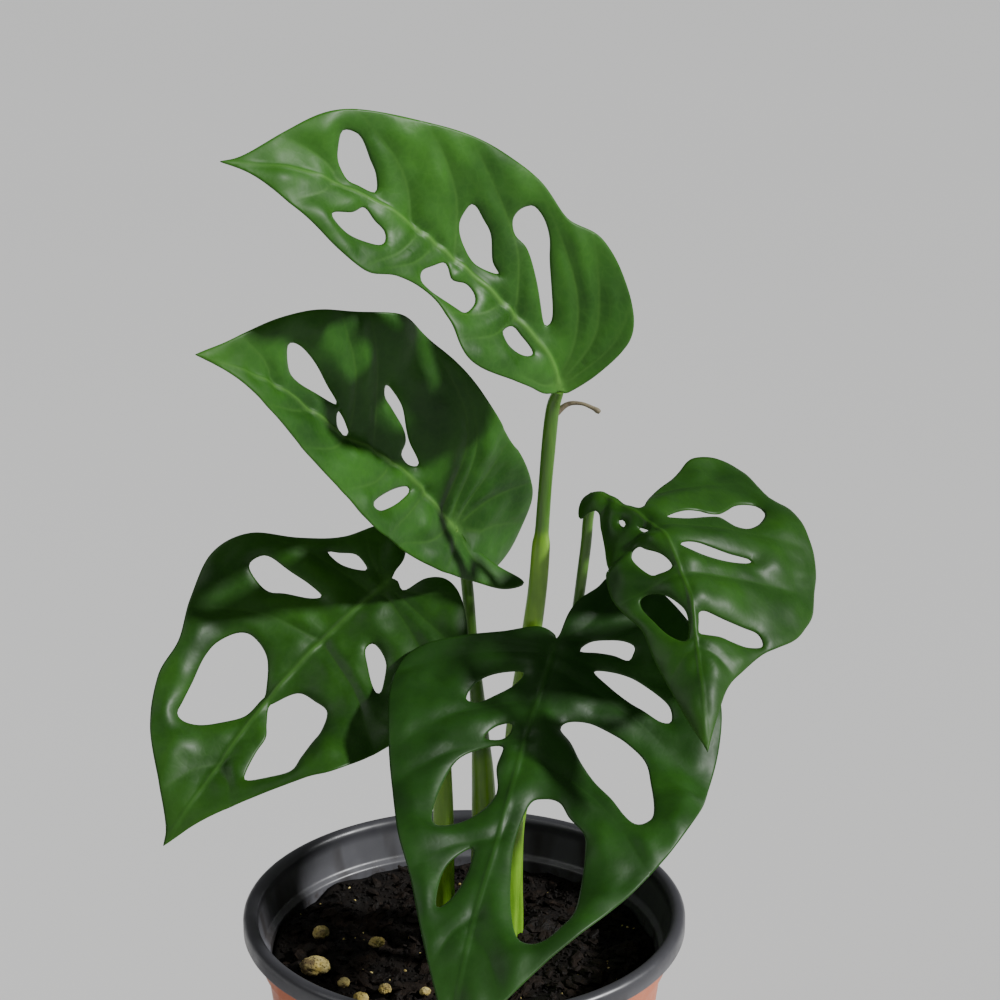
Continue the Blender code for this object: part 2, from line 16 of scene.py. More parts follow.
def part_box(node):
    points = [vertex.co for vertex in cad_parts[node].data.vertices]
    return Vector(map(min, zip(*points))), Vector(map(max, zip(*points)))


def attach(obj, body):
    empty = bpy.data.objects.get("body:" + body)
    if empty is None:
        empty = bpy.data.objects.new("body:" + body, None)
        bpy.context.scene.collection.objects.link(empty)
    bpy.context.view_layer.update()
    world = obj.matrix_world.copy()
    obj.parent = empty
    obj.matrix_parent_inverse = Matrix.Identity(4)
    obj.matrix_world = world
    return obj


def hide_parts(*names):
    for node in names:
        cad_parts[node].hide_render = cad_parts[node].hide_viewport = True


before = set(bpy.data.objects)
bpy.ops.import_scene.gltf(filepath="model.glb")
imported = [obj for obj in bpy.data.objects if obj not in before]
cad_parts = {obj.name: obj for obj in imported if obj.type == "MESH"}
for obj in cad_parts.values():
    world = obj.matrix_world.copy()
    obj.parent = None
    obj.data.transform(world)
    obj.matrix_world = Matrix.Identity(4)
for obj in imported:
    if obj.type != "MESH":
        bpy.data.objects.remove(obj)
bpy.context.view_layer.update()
MM = 0.001

# %% [markdown]
# ## Camera, floor and light
# The photographer looked down at the plant by about twenty degrees through a long lens, so the
# rim of the pot is a narrow ellipse. A long lens from the same height gives that ellipse. The
# floor is a wide pale sheet: seen from this height it fills the frame and no wall is needed.
# One sun from the right, a little in front and half way up, throws the shadow of the top leaf
# onto the leaf below it. A soft panel at the front left gives the waxy leaves something pale to
# mirror, and a dim even sky fills the shade.

# %% Camera
CAMERA_PLACE = (0.00806, -0.5739, 0.3932)
CAMERA_TILT = math.radians(70.1)
LENS, SENSOR = 102.4, 36.0
scene = bpy.context.scene


def placed(name, data):
    """An object of this data in the scene."""
    made = bpy.data.objects.new(name, data)
    scene.collection.objects.link(made)
    return made


camera_data = bpy.data.cameras.new("camera")
camera_data.sensor_width = SENSOR
camera_data.lens = LENS
camera = placed("camera", camera_data)
camera.location = CAMERA_PLACE
camera.rotation_euler = (CAMERA_TILT, 0, 0)
scene.camera = camera
print("camera:", LENS, "mm, looking", round(90 - math.degrees(CAMERA_TILT), 1), "degrees down")

# %% Shading helpers
def new_material(name):
    """A material, its node tree and its shader."""
    material = bpy.data.materials.new(name)
    material.use_nodes = True
    return material, material.node_tree, material.node_tree.nodes["Principled BSDF"]


def add(tree, kind, inputs=None, **settings):
    """A node with its settings made and its inputs set or linked."""
    node = tree.nodes.new(kind)
    for key, value in settings.items():
        setattr(node, key, value)
    for key, value in (inputs or {}).items():
        if isinstance(value, bpy.types.NodeSocket):
            tree.links.new(value, node.inputs[key])
        else:
            node.inputs[key].default_value = value
    return node


def blend(tree, factor, first, second, how="MIX"):
    """Two colours mixed by a factor. A colour is a socket or three numbers."""
    def colour(c):
        return c if isinstance(c, bpy.types.NodeSocket) else (*c, 1)
    made = add(tree, "ShaderNodeMix", {0: factor, 6: colour(first), 7: colour(second)},
               data_type="RGBA", blend_type=how)
    return made.outputs[2]


def maths(tree, what, first, second=0.0):
    return add(tree, "ShaderNodeMath", {0: first, 1: second}, operation=what).outputs[0]


def times(tree, first, second):
    return maths(tree, "MULTIPLY", first, second)


def spread(tree, value, low, high, to_low=0.0, to_high=1.0):
    """A value stretched from one range to another and held inside it."""
    return add(tree, "ShaderNodeMapRange", {"Value": value, "From Min": low, "From Max": high,
                                            "To Min": to_low, "To Max": to_high}).outputs[0]


def grain(tree, where, scale, detail=3.0, roughness=0.5):
    made = add(tree, "ShaderNodeTexNoise", {"Vector": where, "Scale": scale, "Detail": detail,
                                            "Roughness": roughness})
    return made.outputs["Fac"]


def patches(tree, where, scale, detail, low, high, to_low=0.0, to_high=1.0, roughness=0.5):
    """Cloudy patches from the noise: its range from low to high becomes to_low to to_high."""
    return spread(tree, grain(tree, where, scale, detail, roughness), low, high, to_low, to_high)


def relief(tree, shader, layers):
    """Bumps one over the other, each as (height, depth in millimetres)."""
    normal = None
    for height, depth in layers:
        inputs = {"Height": height, "Distance": depth * MM, "Strength": 1.0}
        if normal is not None:
            inputs["Normal"] = normal
        normal = add(tree, "ShaderNodeBump", inputs).outputs["Normal"]
    tree.links.new(normal, shader.inputs["Normal"])


def in_place(tree):
    return add(tree, "ShaderNodeTexCoord").outputs["Object"]


def attribute(tree, name):
    return add(tree, "ShaderNodeAttribute", attribute_name=name).outputs["Fac"]


def wear(tree, shader, socket, name):
    """The shader takes this input from a node."""
    tree.links.new(socket, shader.inputs[name])


# %% Floor and lights
FLOOR_REACH = 14.0
PLANT_MIDDLE = Vector((0, 0, 0.15))
SUN_SIDE = (0.803, -0.216, 0.556)
PANEL_SIDE = (-0.62, -0.28, 0.73)
PANEL_SIZE = 0.5
SKY_COLOUR = (0.80, 0.81, 0.82, 1)
SKY_STRENGTH = 0.17


def sheet_floor(reach):
    mesh = bpy.data.meshes.new("floor")
    corners = [(-reach, -reach, 0), (reach, -reach, 0), (reach, reach, 0), (-reach, reach, 0)]
    mesh.from_pydata(corners, [], [(0, 1, 2, 3)])
    material, tree, shader = new_material("pale_floor")
    cloud = grain(tree, in_place(tree), 2.2, 2.0)
    wear(tree, shader, blend(tree, cloud, (0.67, 0.67, 0.665), (0.71, 0.71, 0.705)), "Base Color")
    shader.inputs["Roughness"].default_value = 0.9
    mesh.materials.append(material)
    placed("floor", mesh)


def lamp(name, kind, towards, distance, energy, **settings):
    """A light that shines on the plant from a side given as (right, back, up)."""
    data = bpy.data.lights.new(name, kind)
    data.energy = energy
    for key, value in settings.items():
        setattr(data, key, value)
    light = placed(name, data)
    back = Vector(towards).normalized()
    light.location = PLANT_MIDDLE + back * distance
    light.rotation_mode = "QUATERNION"
    light.rotation_quaternion = back.to_track_quat("Z", "Y")


sheet_floor(FLOOR_REACH)
lamp("sun", "SUN", SUN_SIDE, 2.0, 5.0, angle=math.radians(5))
lamp("side_panel", "AREA", PANEL_SIDE, 0.9, 1.8, shape="RECTANGLE", size=PANEL_SIZE,
     size_y=PANEL_SIZE)
world = bpy.data.worlds.new("studio")
world.use_nodes = True
sky = world.node_tree.nodes["Background"].inputs
sky["Color"].default_value = SKY_COLOUR
sky["Strength"].default_value = SKY_STRENGTH
scene.world = world

# %% [markdown]
# ## Helpers for curves and meshes
# Every outline here starts as a few given points. A smooth curve is laid through them and
# walked in even steps, which keeps the triangles even too. A mesh is made in one go from a list
# of points and faces, because that is quick and repeats exactly.

# %% Curves and meshes
def unit(vectors):
    return vectors / np.linalg.norm(vectors, axis=-1, keepdims=True)


def curve_through(points, per_span=12, closed=False):
    """Points on a smooth curve through the given ones."""
    given = np.array(points, float)
    if closed:
        padded = np.vstack([given[-1:], given, given[:2]])
    else:
        padded = np.vstack([2 * given[0] - given[1], given, 2 * given[-1] - given[-2]])
    steps = np.linspace(0, 1, per_span, endpoint=False)[:, None]
    spans = []
    for a, b, c, d in zip(padded, padded[1:], padded[2:], padded[3:]):
        spans.append(0.5 * (2 * b + (c - a) * steps + (2 * a - 5 * b + 4 * c - d) * steps ** 2
                            + (3 * b - a - 3 * c + d) * steps ** 3))
    if not closed:
        spans.append(given[-1:])
    return np.vstack(spans)


def evenly(points, step, closed=False):
    """The same curve with points about one step apart."""
    if closed:
        points = np.vstack([points, points[:1]])
    run = np.concatenate([[0], np.cumsum(np.linalg.norm(np.diff(points, axis=0), axis=1))])
    count = max(int(round(run[-1] / step)), 6)
    at = np.linspace(0, run[-1], count + 1)
    if closed:
        at = at[:-1]
    return np.stack([np.interp(at, run, points[:, k]) for k in range(points.shape[1])], -1)


def new_piece(name, points, faces, materials, face_material=None):
    """A smooth mesh object from points in millimetres."""
    mesh = bpy.data.meshes.new(name)
    mesh.from_pydata((np.asarray(points, float) * MM).tolist(), [], faces)
    mesh.validate()
    mesh.shade_smooth()
    for material in materials:
        mesh.materials.append(material)
    if face_material is not None:
        mesh.polygons.foreach_set("material_index", face_material)
    return placed(name, mesh)


def keep_value(piece, name, values):
    """A number for each point, for the material to read."""
    made = piece.data.attributes.new(name, "FLOAT", "POINT")
    made.data.foreach_set("value", np.asarray(values, np.float32))


def settle(piece, slot, *nodes):
    """The piece stands for its solids and rides on the plant's one body. Its slot is not used."""
    if nodes:
        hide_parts(*nodes)
    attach(piece, "root")
    piece.data.calc_loop_triangles()
    print(f"{piece.name}: {len(piece.data.loop_triangles)} triangles")


# %% [markdown]
# ## The leaves
# A monstera blade is a thin waxy skin stretched over a midrib and a few side veins that arch
# towards the tip, with a hole between each pair of veins. A flat blade is drawn first, as if
# pressed in a book: u runs along the midrib and v across it. The flat blade is meshed with its
# holes left open and then bent along the midrib in space, which is the way the solid was made,
# so the fine blade lies where the solid lies. Sculpting would reach the same form, but a drawn
# blade keeps its veins, its holes and its outline in one set of coordinates.

# %% Leaf shapes
# midrib: points in space. face: the way the blade looks at the stalk and at the tip.
# rise: how steeply each half climbs from the midrib, at the stalk and at the tip.
# swing: how far the lobes behind the stalk move sideways and forward. wave: the height, number
# and phase of the waves. notch: where the two margins part. left, right: the margins. tip: the
# u of the tip. lap: how far the right lobe slides behind the left. ease: how much the outer blade
# smooths the bends of the midrib. holes: loops of (u, v). veins: (start u, end u, end v).
# green: the skin's dark and light patches, its rib and its tip. The front, right and low left
# leaves have darker greens, partly their own tone and partly painted shade.
LEAVES = {
    "leaf_top": {
        "midrib": [(22, 5, 208), (18, 2, 218), (10, -2, 229), (-7, -11, 247),
                   (-25, -22, 261), (-46, -34, 268)],
        "face": [(0.27, -0.69, 0.68), (0.20, -0.67, 0.72)],
        "rise": {"left": (10, -12), "right": (32, 34)},
        "notch": 0.0,
        "wave": (0.7, 3.5, 0.4),
        "left": [(1, 1.2), (2, 3), (6, 7), (20, 14.5), (31, 17.5), (39, 13), (46, 11), (56, 12.5),
                 (65, 16), (75, 14), (86, 8.5), (96, 2)],
        "right": [(-1, -1.5), (0, -9), (4, -17.5), (11, -23), (20, -25), (28, -22.5),
                  (38, -25), (48, -24), (63, -20), (78, -15), (89, -7.5), (97, -2)],
        "tip": 102,
        "holes": [[(77.2, -10.8), (77.2, -7.8), (76.2, -4.5), (73.2, -2), (70.2, -1.8), (66, -2.2),
                   (67.5, -5.5), (70, -7.8), (73, -10.8), (75, -11.5)],
                  [(76.5, 7), (71.2, 4.8), (68, 2.2), (65, 3.8), (61.8, 4.8), (61.2, 7), (63.2, 8.8),
                   (69, 10), (73.2, 9.5)],
                  [(46.2, -11), (45.5, -7), (42.2, -4), (37.2, -2.5), (31.5, -4.2), (34.5, -5.5),
                   (38.5, -9.5), (42, -11), (45, -12)],
                  [(37, -17), (36.5, -14.8), (34, -12.8), (30, -12.2), (24, -9), (16.8, -4.2),
                   (15, -4.2), (15.8, -6.2), (20.2, -10), (24.8, -14), (27.8, -17), (31.5, -19.2),
                   (34.8, -20), (36.2, -19)],
                  [(49, 9.5), (49.5, 7.5), (47.2, 4.8), (43.8, 1.8), (41.2, 4.2), (37.2, 2.5),
                   (34.5, 3), (33.5, 5), (34.8, 8.2), (37.8, 9.2), (43.8, 10), (46.8, 10)],
                  [(23.5, 4.8), (21.5, 1.8), (18.5, 2), (13.5, 2.2), (14.5, 4.5), (17.8, 6.2),
                   (21.5, 6.5)]],
        "veins": [(1, 9, -21), (2, 22, -24), (3, 38, -24), (22, 52, -21), (42, 64, -20),
                  (55, 76, -15.5), (74, 90, -7), (2, 14, 10), (22, 34, 15), (27, 40, 12),
                  (48, 60, 13), (53, 66, 15), (76, 88, 7)],
        "green": {"dark": (0.013, 0.066, 0.003), "light": (0.036, 0.145, 0.010),
                  "rib": (0.10, 0.25, 0.04), "tip": (0.032, 0.125, 0.007)},
    },
    "leaf_left": {
        "midrib": [(-1, 16, 173), (-4, 13, 177), (-13, 5, 191), (-26, -7, 204), (-38, -20, 218),
                   (-52, -34, 229)],
        "face": [(0.27, -0.69, 0.68), (0.20, -0.67, 0.72)],
        "rise": {"left": (5, -5), "right": (34, 34)},
        "swing": {"left": (-6, 5), "right": (0, -2)},
        "notch": -2.2,
        "lap": 6.0,
        "ease": 0.25,
        "wave": (0.7, 3.5, 1.6),
        "left": [(-3.8, 1.5), (-8, 3), (-13, 5.5), (-18.5, 8.5), (-20, 10.5), (-16, 11.3), (-7, 10.5),
                 (4, 12.5), (14, 15), (28, 18), (36, 16.5), (43, 13.5), (56, 10), (70, 6),
                 (82, 1.5)],
        "right": [(-4.2, -0.9), (-13, -1), (-18.5, -5.5), (-19.2, -10.5), (-14.5, -18), (-6, -21.5),
                  (6, -23.5), (18, -24), (31, -27.5), (46, -28), (62, -21), (72, -14), (82, -6)],
        "tip": 91,
        "holes": [[(68, -9.2), (65.5, -10.5), (59.8, -9.5), (53.8, -7.2), (48.2, -5), (55, -4.2),
                   (61.5, -3.8), (65.2, -5)],
                  [(46.8, -4), (40.8, -1.5), (42.8, -0.5), (45.5, -1.5)],
                  [(37.5, -14.2), (35.5, -14.2), (31.2, -12.2), (27.5, -8.2), (24.8, -6), (20, -3.8),
                   (22, -2.2), (25.2, -3), (26, -5.8), (28.2, -8), (33, -10.5), (36.2, -12)],
                  [(32.5, 12.5), (31.5, 10.5), (25.8, 6), (19.5, 1.8), (18.8, 3.2), (22.5, 8),
                   (29.2, 12.5)]],
        "veins": [(-1, -16, -12), (0, -10, -20), (0.5, 6, -23), (2, 26, -25), (6, 32, -27),
                  (33, 54, -25), (40, 60, -21), (68, 80, -7), (-1, -14, 8.5), (0, 2, 11.5),
                  (3, 16, 14.5), (14, 24, 16), (27, 43, 13), (42, 57, 9.5), (56, 71, 5.5)],
        "green": {"dark": (0.008, 0.048, 0.002), "light": (0.026, 0.115, 0.007),
                  "rib": (0.08, 0.20, 0.030), "tip": (0.034, 0.12, 0.007)},
    },
    "leaf_low_left": {
        "midrib": [(-17, 12, 162), (-31, 2, 152), (-43, -9, 142), (-53, -22, 132),
                   (-63, -35, 121)],
        "face": [(-0.10, -0.85, 0.52), (-0.10, -0.76, 0.65)],
        "rise": {"left": (2, 20), "right": (10, 20)},
        "swing": {"left": (0, 0), "right": (0, -3)},
        "notch": -1.5,
        "wave": (0.8, 3.0, 2.6),
        "left": [(-2, 1.5), (-1.5, 4), (-7, 5.5), (-10, 9), (-9, 14.5), (-3, 22.5), (7, 30.5),
                 (19, 32), (30, 28.5), (45, 24), (51, 19), (59, 12), (70, 4)],
        "right": [(-3, -0.5), (-7, -1.5), (-10, -5), (-8, -10.5), (0, -14), (8, -20.5),
                  (15, -28), (23, -31), (32, -27.5), (40, -23), (48, -22), (58, -17),
                  (67, -8.5), (74, -2)],
        "tip": 78,
        "holes": [[(19.5, -23), (17, -23), (15.2, -21.2), (14.2, -16), (13, -11), (12.8, -7.2),
                   (15.2, -8.8), (18.2, -13.2), (20.2, -15.8), (20.5, -19)],
                  [(5, -13.8), (3.2, -12), (0.8, -9.5), (0.5, -7.2), (1.2, -5), (3.2, -7),
                   (4.8, -10.2)],
                  [(51.8, -14), (49, -14.5), (44.5, -15.2), (39, -16.5), (34.8, -16.5), (30.5, -14.5),
                   (29.2, -11.2), (30.8, -6), (36.5, -1.5), (39, -1.2), (43.8, -1.8), (48.2, -5.2),
                   (51.2, -8.5), (52.5, -11.8)],
                  [(39, 1), (37.2, 1.5), (32.5, 4.2), (31.8, 8.5), (32.2, 12.2), (36.8, 14.2),
                   (41.2, 14.5), (46.5, 14.8), (50.8, 14.8), (54.5, 10.8), (56.8, 7.2), (55.2, 6),
                   (50, 5.2), (45.8, 5), (42.8, 3.2)],
                  [(14.5, 8.2), (12.2, 8.2), (12, 10.5), (13.2, 13.5), (15.5, 15.5), (19.5, 17.8),
                   (21, 17.5), (20, 15.2), (17.2, 11.5)]],
        "veins": [(0, -7, -9), (0.5, -4, -11), (4, 14, -27), (20, 33, -26), (56, 68, -7),
                  (0, -8, 12), (0.5, 0, 24), (2, 12, 30), (20, 34, 27), (57, 64, 8)],
        # Painted shade: these greens are set darker for the shade that falls on this low leaf.
        "green": {"dark": (0.007, 0.038, 0.0015), "light": (0.020, 0.086, 0.004),
                  "rib": (0.05, 0.14, 0.020), "tip": (0.024, 0.088, 0.004)},
    },
    "leaf_front": {
        "midrib": [(20, -2, 153), (17, -10, 146), (13, -24, 139), (8, -45, 129), (2, -67, 117),
                   (-2, -88, 104)],
        "face": [(0.0, -0.88, 0.48), (0.0, -0.65, 0.76)],
        "rise": {"left": (-10, 10), "right": (-10, 10)},
        "notch": -1.6,
        "wave": (0.9, 3.0, 0.9),
        "left": [(-3, 0.5), (-8, 1), (-12, 2.5), (-16, 5.5), (-20, 8), (-21.5, 15), (-18, 24),
                 (-10, 34), (-2, 38.5), (10, 41), (20, 41), (33, 39.5), (44, 36), (54, 31),
                 (66, 25), (80, 16.5), (92, 8.5)],
        "right": [(-2.5, -1), (-3, -5), (0, -12), (3, -20), (7, -28), (12, -31.5), (22, -31),
                  (35, -27.5), (46, -24), (58, -20), (68, -14.5), (80, -9), (92, -4)],
        "tip": 102,
        "holes": [[(17.8, -15), (13, -14.2), (9.8, -10.8), (8, -5), (11.2, -5.8), (15.2, -9.2),
                   (18, -12.2)],
                  [(27.2, -8.5), (25, -7.8), (23, -6.2), (21.8, -3.8), (24.5, -3.5), (26.5, -5.2)],
                  [(28.2, -4.2), (34.2, -4.2), (40.8, -2.8), (46.8, -5.2), (51.2, -9.5),
                   (52.2, -13.8), (45.2, -14.8), (35.2, -13), (30.2, -8.8)],
                  [(72, -8), (66.5, -8.8), (61.2, -8), (56, -4.5), (61, -3.8), (66.2, -4.5),
                   (70.2, -6)],
                  [(-0.5, 6), (-2.8, 7), (-4.5, 9.2), (-6.2, 14), (-6, 17.2), (-4.2, 17.5),
                   (-2.2, 16.8), (-2.2, 13.5), (-1.5, 9.8)],
                  [(3, 10.2), (1.5, 13.8), (1.2, 19), (2.8, 24), (5, 28.2), (8, 29.5), (8.8, 27.2),
                   (7.8, 23), (7, 19.2), (5.2, 14.2)],
                  [(19.2, 6.8), (16.5, 8), (14.8, 12.2), (15, 17), (16, 21.8), (18.8, 26.5),
                   (24.8, 28.5), (36, 30.2), (39.5, 29), (40.5, 26.8), (38.8, 24.2), (34.8, 20.8),
                   (31.2, 16.8), (26.5, 13), (21.8, 9.8)],
                  [(42, 4.5), (39.5, 7.2), (39.5, 10.5), (42.8, 13.2), (46, 17), (50.2, 18.2),
                   (58.8, 19.2), (65.8, 19.2), (70.8, 17.2), (74.5, 15), (76.2, 12.2), (75, 9.2),
                   (69.2, 6.8), (62, 5), (52.2, 3.5)]],
        "veins": [(-1, -18, 11), (-1, -16, 22), (2, 0, 38), (5, 20, 40), (28, 52, 32),
                  (76, 90, 8), (0, 1, -11), (1, 6, -24), (2, 14, -31), (14, 36, -27),
                  (25, 44, -24.5), (52, 66, -15.5), (72, 86, -6.5)],
        # Painted shade: the darkest greens and a dark rib stand in for the shade on this front leaf.
        "green": {"dark": (0.006, 0.032, 0.002), "light": (0.016, 0.070, 0.006),
                  "rib": (0.020, 0.075, 0.008), "tip": (0.020, 0.080, 0.006)},
    },
    "leaf_right": {
        "midrib": [(28.1, 7.9, 184.6), (30, 6.3, 185), (34.4, 2.4, 183.8), (39, -2, 182.5),
                   (43, -8, 181), (46, -15, 176.3), (48.4, -22, 170), (49.3, -31, 162),
                   (50.5, -46, 148)],
        "face": [(0.25, -0.65, 0.71), (0.10, -0.76, 0.65)],
        "rise": {"left": (-28, -28), "right": (-28, -28)},
        "notch": -0.6,
        "wave": (0.8, 3.0, 2.0),
        "left": [(0.8, 0.9), (4, 1.4), (8, 1.5), (11.4, 1.9), (11.9, 3.6), (10.8, 6), (8.2, 12.2),
                 (5.8, 21.5), (4.4, 26.5), (3.3, 31), (3.2, 34.8), (4.2, 41), (6, 44.2), (9.4, 44.3),
                 (12.6, 42.4), (14.3, 41.6), (15.4, 42.6), (16.4, 44), (18.4, 43.9), (21.8, 43.4),
                 (25.5, 43), (32.3, 40.7), (38.5, 36.4), (41.8, 31.6), (44.1, 27.8), (46.7, 22.1),
                 (49, 18), (54, 12.1), (59, 7), (66, 3.4)],
        "right": [(-1.5, -1.4), (-1.9, -3), (-1.7, -5.2), (-0.8, -7), (0.6, -6.8), (2.2, -5.6),
                  (3.7, -4.7), (5.2, -5), (6.5, -6.4), (8.1, -8.1), (14.4, -13.3), (22, -15.3),
                  (32, -16.6), (39, -15), (45, -12), (52, -10), (60, -7), (68, -3.5)],
        "tip": 74,
        "holes": [[(10.1, -3.9), (10.7, -3.4), (11.5, -3.5), (12.2, -4.1), (12.3, -4.7), (11.7, -4.9),
                   (10.7, -4.6)],
                  [(18.3, -2.3), (17.6, -1.9), (16.5, -2), (15.6, -2.5), (15.4, -3), (16.2, -3.2),
                   (17.3, -3.1), (18, -2.8)],
                  [(20.4, -8.2), (20.8, -6.6), (23.6, -5.6), (27.2, -2.8), (30.2, -1.6), (31.2, -3),
                   (31.2, -5.2), (30.8, -7), (27.4, -8.8), (23.6, -9.4)],
                  [(35.8, -11.2), (34.9, -9.6), (35.6, -7.4), (37, -5.4), (39.4, -3.4), (42, -1.8),
                   (45.2, -1.6), (48.4, -2.3), (48.6, -4.2), (46.2, -7.2), (42.4, -9.6), (38.8, -11.2)],
                  [(16.2, 6.2), (15.2, 9.6), (14.8, 14), (15.3, 17.4), (16, 19.2), (16.3, 22),
                   (15.7, 25.6), (15, 29.2), (14.9, 32.8), (15.4, 36), (16.6, 36), (18, 33.2),
                   (19.4, 29.8), (20, 26.6), (19.4, 23.6), (18.2, 22.2), (17, 21), (16.9, 16.6), (17, 11.4)],
                  [(25.4, 3.4), (24.5, 5.8), (24.5, 9), (25.3, 12), (26.6, 17), (27.3, 22), (27.9, 23.2),
                   (28.6, 21.4), (28.8, 16.2), (28.2, 10.8), (27, 6.6)],
                  [(42.2, 2), (44.2, 1.5), (46.8, 1.2), (47.3, 3), (47.1, 7), (47.6, 10), (48, 14),
                   (47.2, 18), (45.8, 18.8), (44.2, 17.6), (43.7, 14), (43.1, 10), (42.5, 7), (41.8, 3.8)]],
        "veins": [(8, 12, 39), (19, 24, 40), (33, 36, 36), (50, 56, 9), (4, 14, -13),
                  (16, 21, -14.5), (33, 35, -15.5), (50, 58, -7)],
        # Painted shade: these greens are set darker for the shade across this leaf's middle.
        "green": {"dark": (0.006, 0.036, 0.001), "light": (0.018, 0.080, 0.003),
                  "rib": (0.032, 0.11, 0.008), "tip": (0.028, 0.10, 0.005)},
    },
}

# %% [markdown]
# ### Bending a flat blade
# The midrib is a smooth curve in space. At each point along it the blade has a direction to
# look in, and each half climbs or falls from the midrib like an open book. A soft V with a
# rounded crease joins the halves, and a slow wave along the margin keeps the blade from looking
# like folded card. Nearly the same numbers made the solid, so the fine blade stays with it.

# %% Midrib in space
CREASE = 3.0
LOBE_LENGTH = 20.0
STILL = {"left": (0, 0), "right": (0, 0)}
WAVE_REACH = 25.0
RIGHT_WAVE_SHIFT = 1.7
LAP_RUN, LAP_WIDTH = 6, 8


class Midrib:
    """A midrib in space, with the blade's two halves hung on it."""

    def __init__(self, leaf):
        self.leaf = leaf
        self.points = curve_through(leaf["midrib"], 24)
        steps = np.linalg.norm(np.diff(self.points, axis=0), axis=1)
        self.run = np.concatenate([[0], np.cumsum(steps)])
        self.length = self.run[-1]

    def place(self, u):
        return np.stack([np.interp(u, self.run, self.points[:, k]) for k in range(3)], -1)

    def along(self, u, reach=3.0):
        """The way the midrib runs. Far out on the blade it is read over a longer reach."""
        low = np.clip(u - reach, 0, self.length)
        high = np.clip(u + reach, 0, self.length)
        return unit(self.place(high) - self.place(low))

    def bend(self, u, v):
        """Where the flat blade's points (u, v) come to lie."""
        leaf = self.leaf
        held = np.clip(u, 0, self.length)
        share = held / self.length
        tangent = self.along(held, 3 + leaf.get("ease", 0) * np.abs(v))
        faces = np.array(leaf["face"], float)
        normal = faces[0] * (1 - share[:, None]) + faces[1] * share[:, None]
        normal = unit(normal - (normal * tangent).sum(1)[:, None] * tangent)
        across = np.cross(normal, tangent)
        rise, swing, forward = np.zeros_like(u), np.zeros_like(u), np.zeros_like(u)
        behind = np.clip(-u / LOBE_LENGTH, 0, 2) ** 2
        swings = leaf.get("swing", STILL)
        for side, here in (("left", v >= 0), ("right", v < 0)):
            start, end = leaf["rise"][side]
            rise[here] = np.radians(start + (end - start) * share[here])
            swing[here] = swings[side][0] * behind[here]
            forward[here] = swings[side][1] * behind[here]
        height, waves, phase = leaf["wave"]
        width = np.abs(v)
        ripple = height * np.sin(2 * math.pi * waves * share + phase
                                 + (v < 0) * RIGHT_WAVE_SHIFT)
        ripple = ripple * (width / WAVE_REACH) ** 1.5
        lift = np.sin(rise) * (np.hypot(width, CREASE) - CREASE) + ripple + forward
        lap = (leaf.get("lap", 0) * np.clip(-u / LAP_RUN, 0, 1) ** 2
               * np.exp(-(v / LAP_WIDTH) ** 2) * (v < 0))
        sideways = v * np.cos(rise) + swing + lap
        beyond = (u - held)[:, None] * tangent
        return self.place(held) + beyond + sideways[:, None] * across + lift[:, None] * normal


# %% Outline, holes and veins in the flat
EDGE_STEP = 0.8
VEIN_ARCH = (0.36, 0.54)


def hole_outline(hole):
    """A leaf hole: a smooth loop in the flat blade."""
    return evenly(curve_through(hole, 12, closed=True), EDGE_STEP, closed=True)


def blade_outline(leaf):
    """The flat margin, from the notch at the stalk round the left half, tip and right half."""
    tip = [(leaf["tip"], 0.0)]
    notch = [(leaf["notch"], 0.0)]
    left = evenly(curve_through(notch + leaf["left"] + tip), EDGE_STEP)
    right = evenly(curve_through(notch + leaf["right"] + tip), EDGE_STEP)
    return np.vstack([left, right[-2:0:-1]])


def vein_lines(leaf):
    """The side veins as arching lines from the midrib almost to the margin."""
    lines = []
    for start, end, side in leaf["veins"]:
        bend = (start + VEIN_ARCH[0] * (end - start), VEIN_ARCH[1] * side)
        lines.append(evenly(curve_through([(start, 0.0), bend, (end, side)]), EDGE_STEP))
    return lines


def in_loop(points, loop):
    """Which flat points lie in a closed loop."""
    x, y = loop[:, 0], loop[:, 1]
    x2, y2 = np.roll(x, -1), np.roll(y, -1)
    px, py = points[:, :1], points[:, 1:]
    spans = (y > py) != (y2 > py)
    crossing = x + (py - y) * (x2 - x) / np.where(y2 == y, 1, y2 - y)
    return (spans & (px < crossing)).sum(1) % 2 == 1


def tree_of(points):
    found = kdtree.KDTree(len(points))
    for i, p in enumerate(points):
        found.insert((p[0], p[1], 0), i)
    found.balance()
    return found


def nearest(points, tree):
    """The distance to the nearest point of a tree, and which one it is."""
    hits = [tree.find((p[0], p[1], 0)) for p in points]
    return np.array([h[2] for h in hits]), np.array([h[1] for h in hits])


# %% Rows along the margins, midrib and veins
RIB_ROWS = (0.0, 0.45, 0.95, 1.6)
RIB_STEP = 0.9
VEIN_ROWS = (0.0, 0.5)
RIM_ROW = 0.42


def beside(line, off):
    """The same line moved sideways in the flat."""
    heading = unit(np.gradient(line, axis=0))
    return line + off * np.stack([-heading[:, 1], heading[:, 0]], -1)


def guide_points(leaf, lines, loops):
    """Rows of points beside the margins, the midrib and the veins, so that each has an edge."""
    rows = []
    for loop in loops:
        for off in (RIM_ROW, -RIM_ROW):
            rows += beside(np.vstack([loop[-1:], loop, loop[:1]]), off)[1:-1].tolist()
    for u in np.arange(2.5, leaf["tip"] - 3, RIB_STEP):
        rows += [(u, side * v) for v in RIB_ROWS for side in (1, -1) if v or side > 0]
    for line in lines:
        for v in VEIN_ROWS:
            for side in (1, -1) if v else (1,):
                rows += beside(line, side * v)[4:].tolist()
    return np.array(rows)


# %% Meshing the flat blade
BLADE_STEP = 1.05
ROW_SHARE = 0.87
GUIDE_GAP, GRID_GAP = 0.36, BLADE_STEP * 0.55


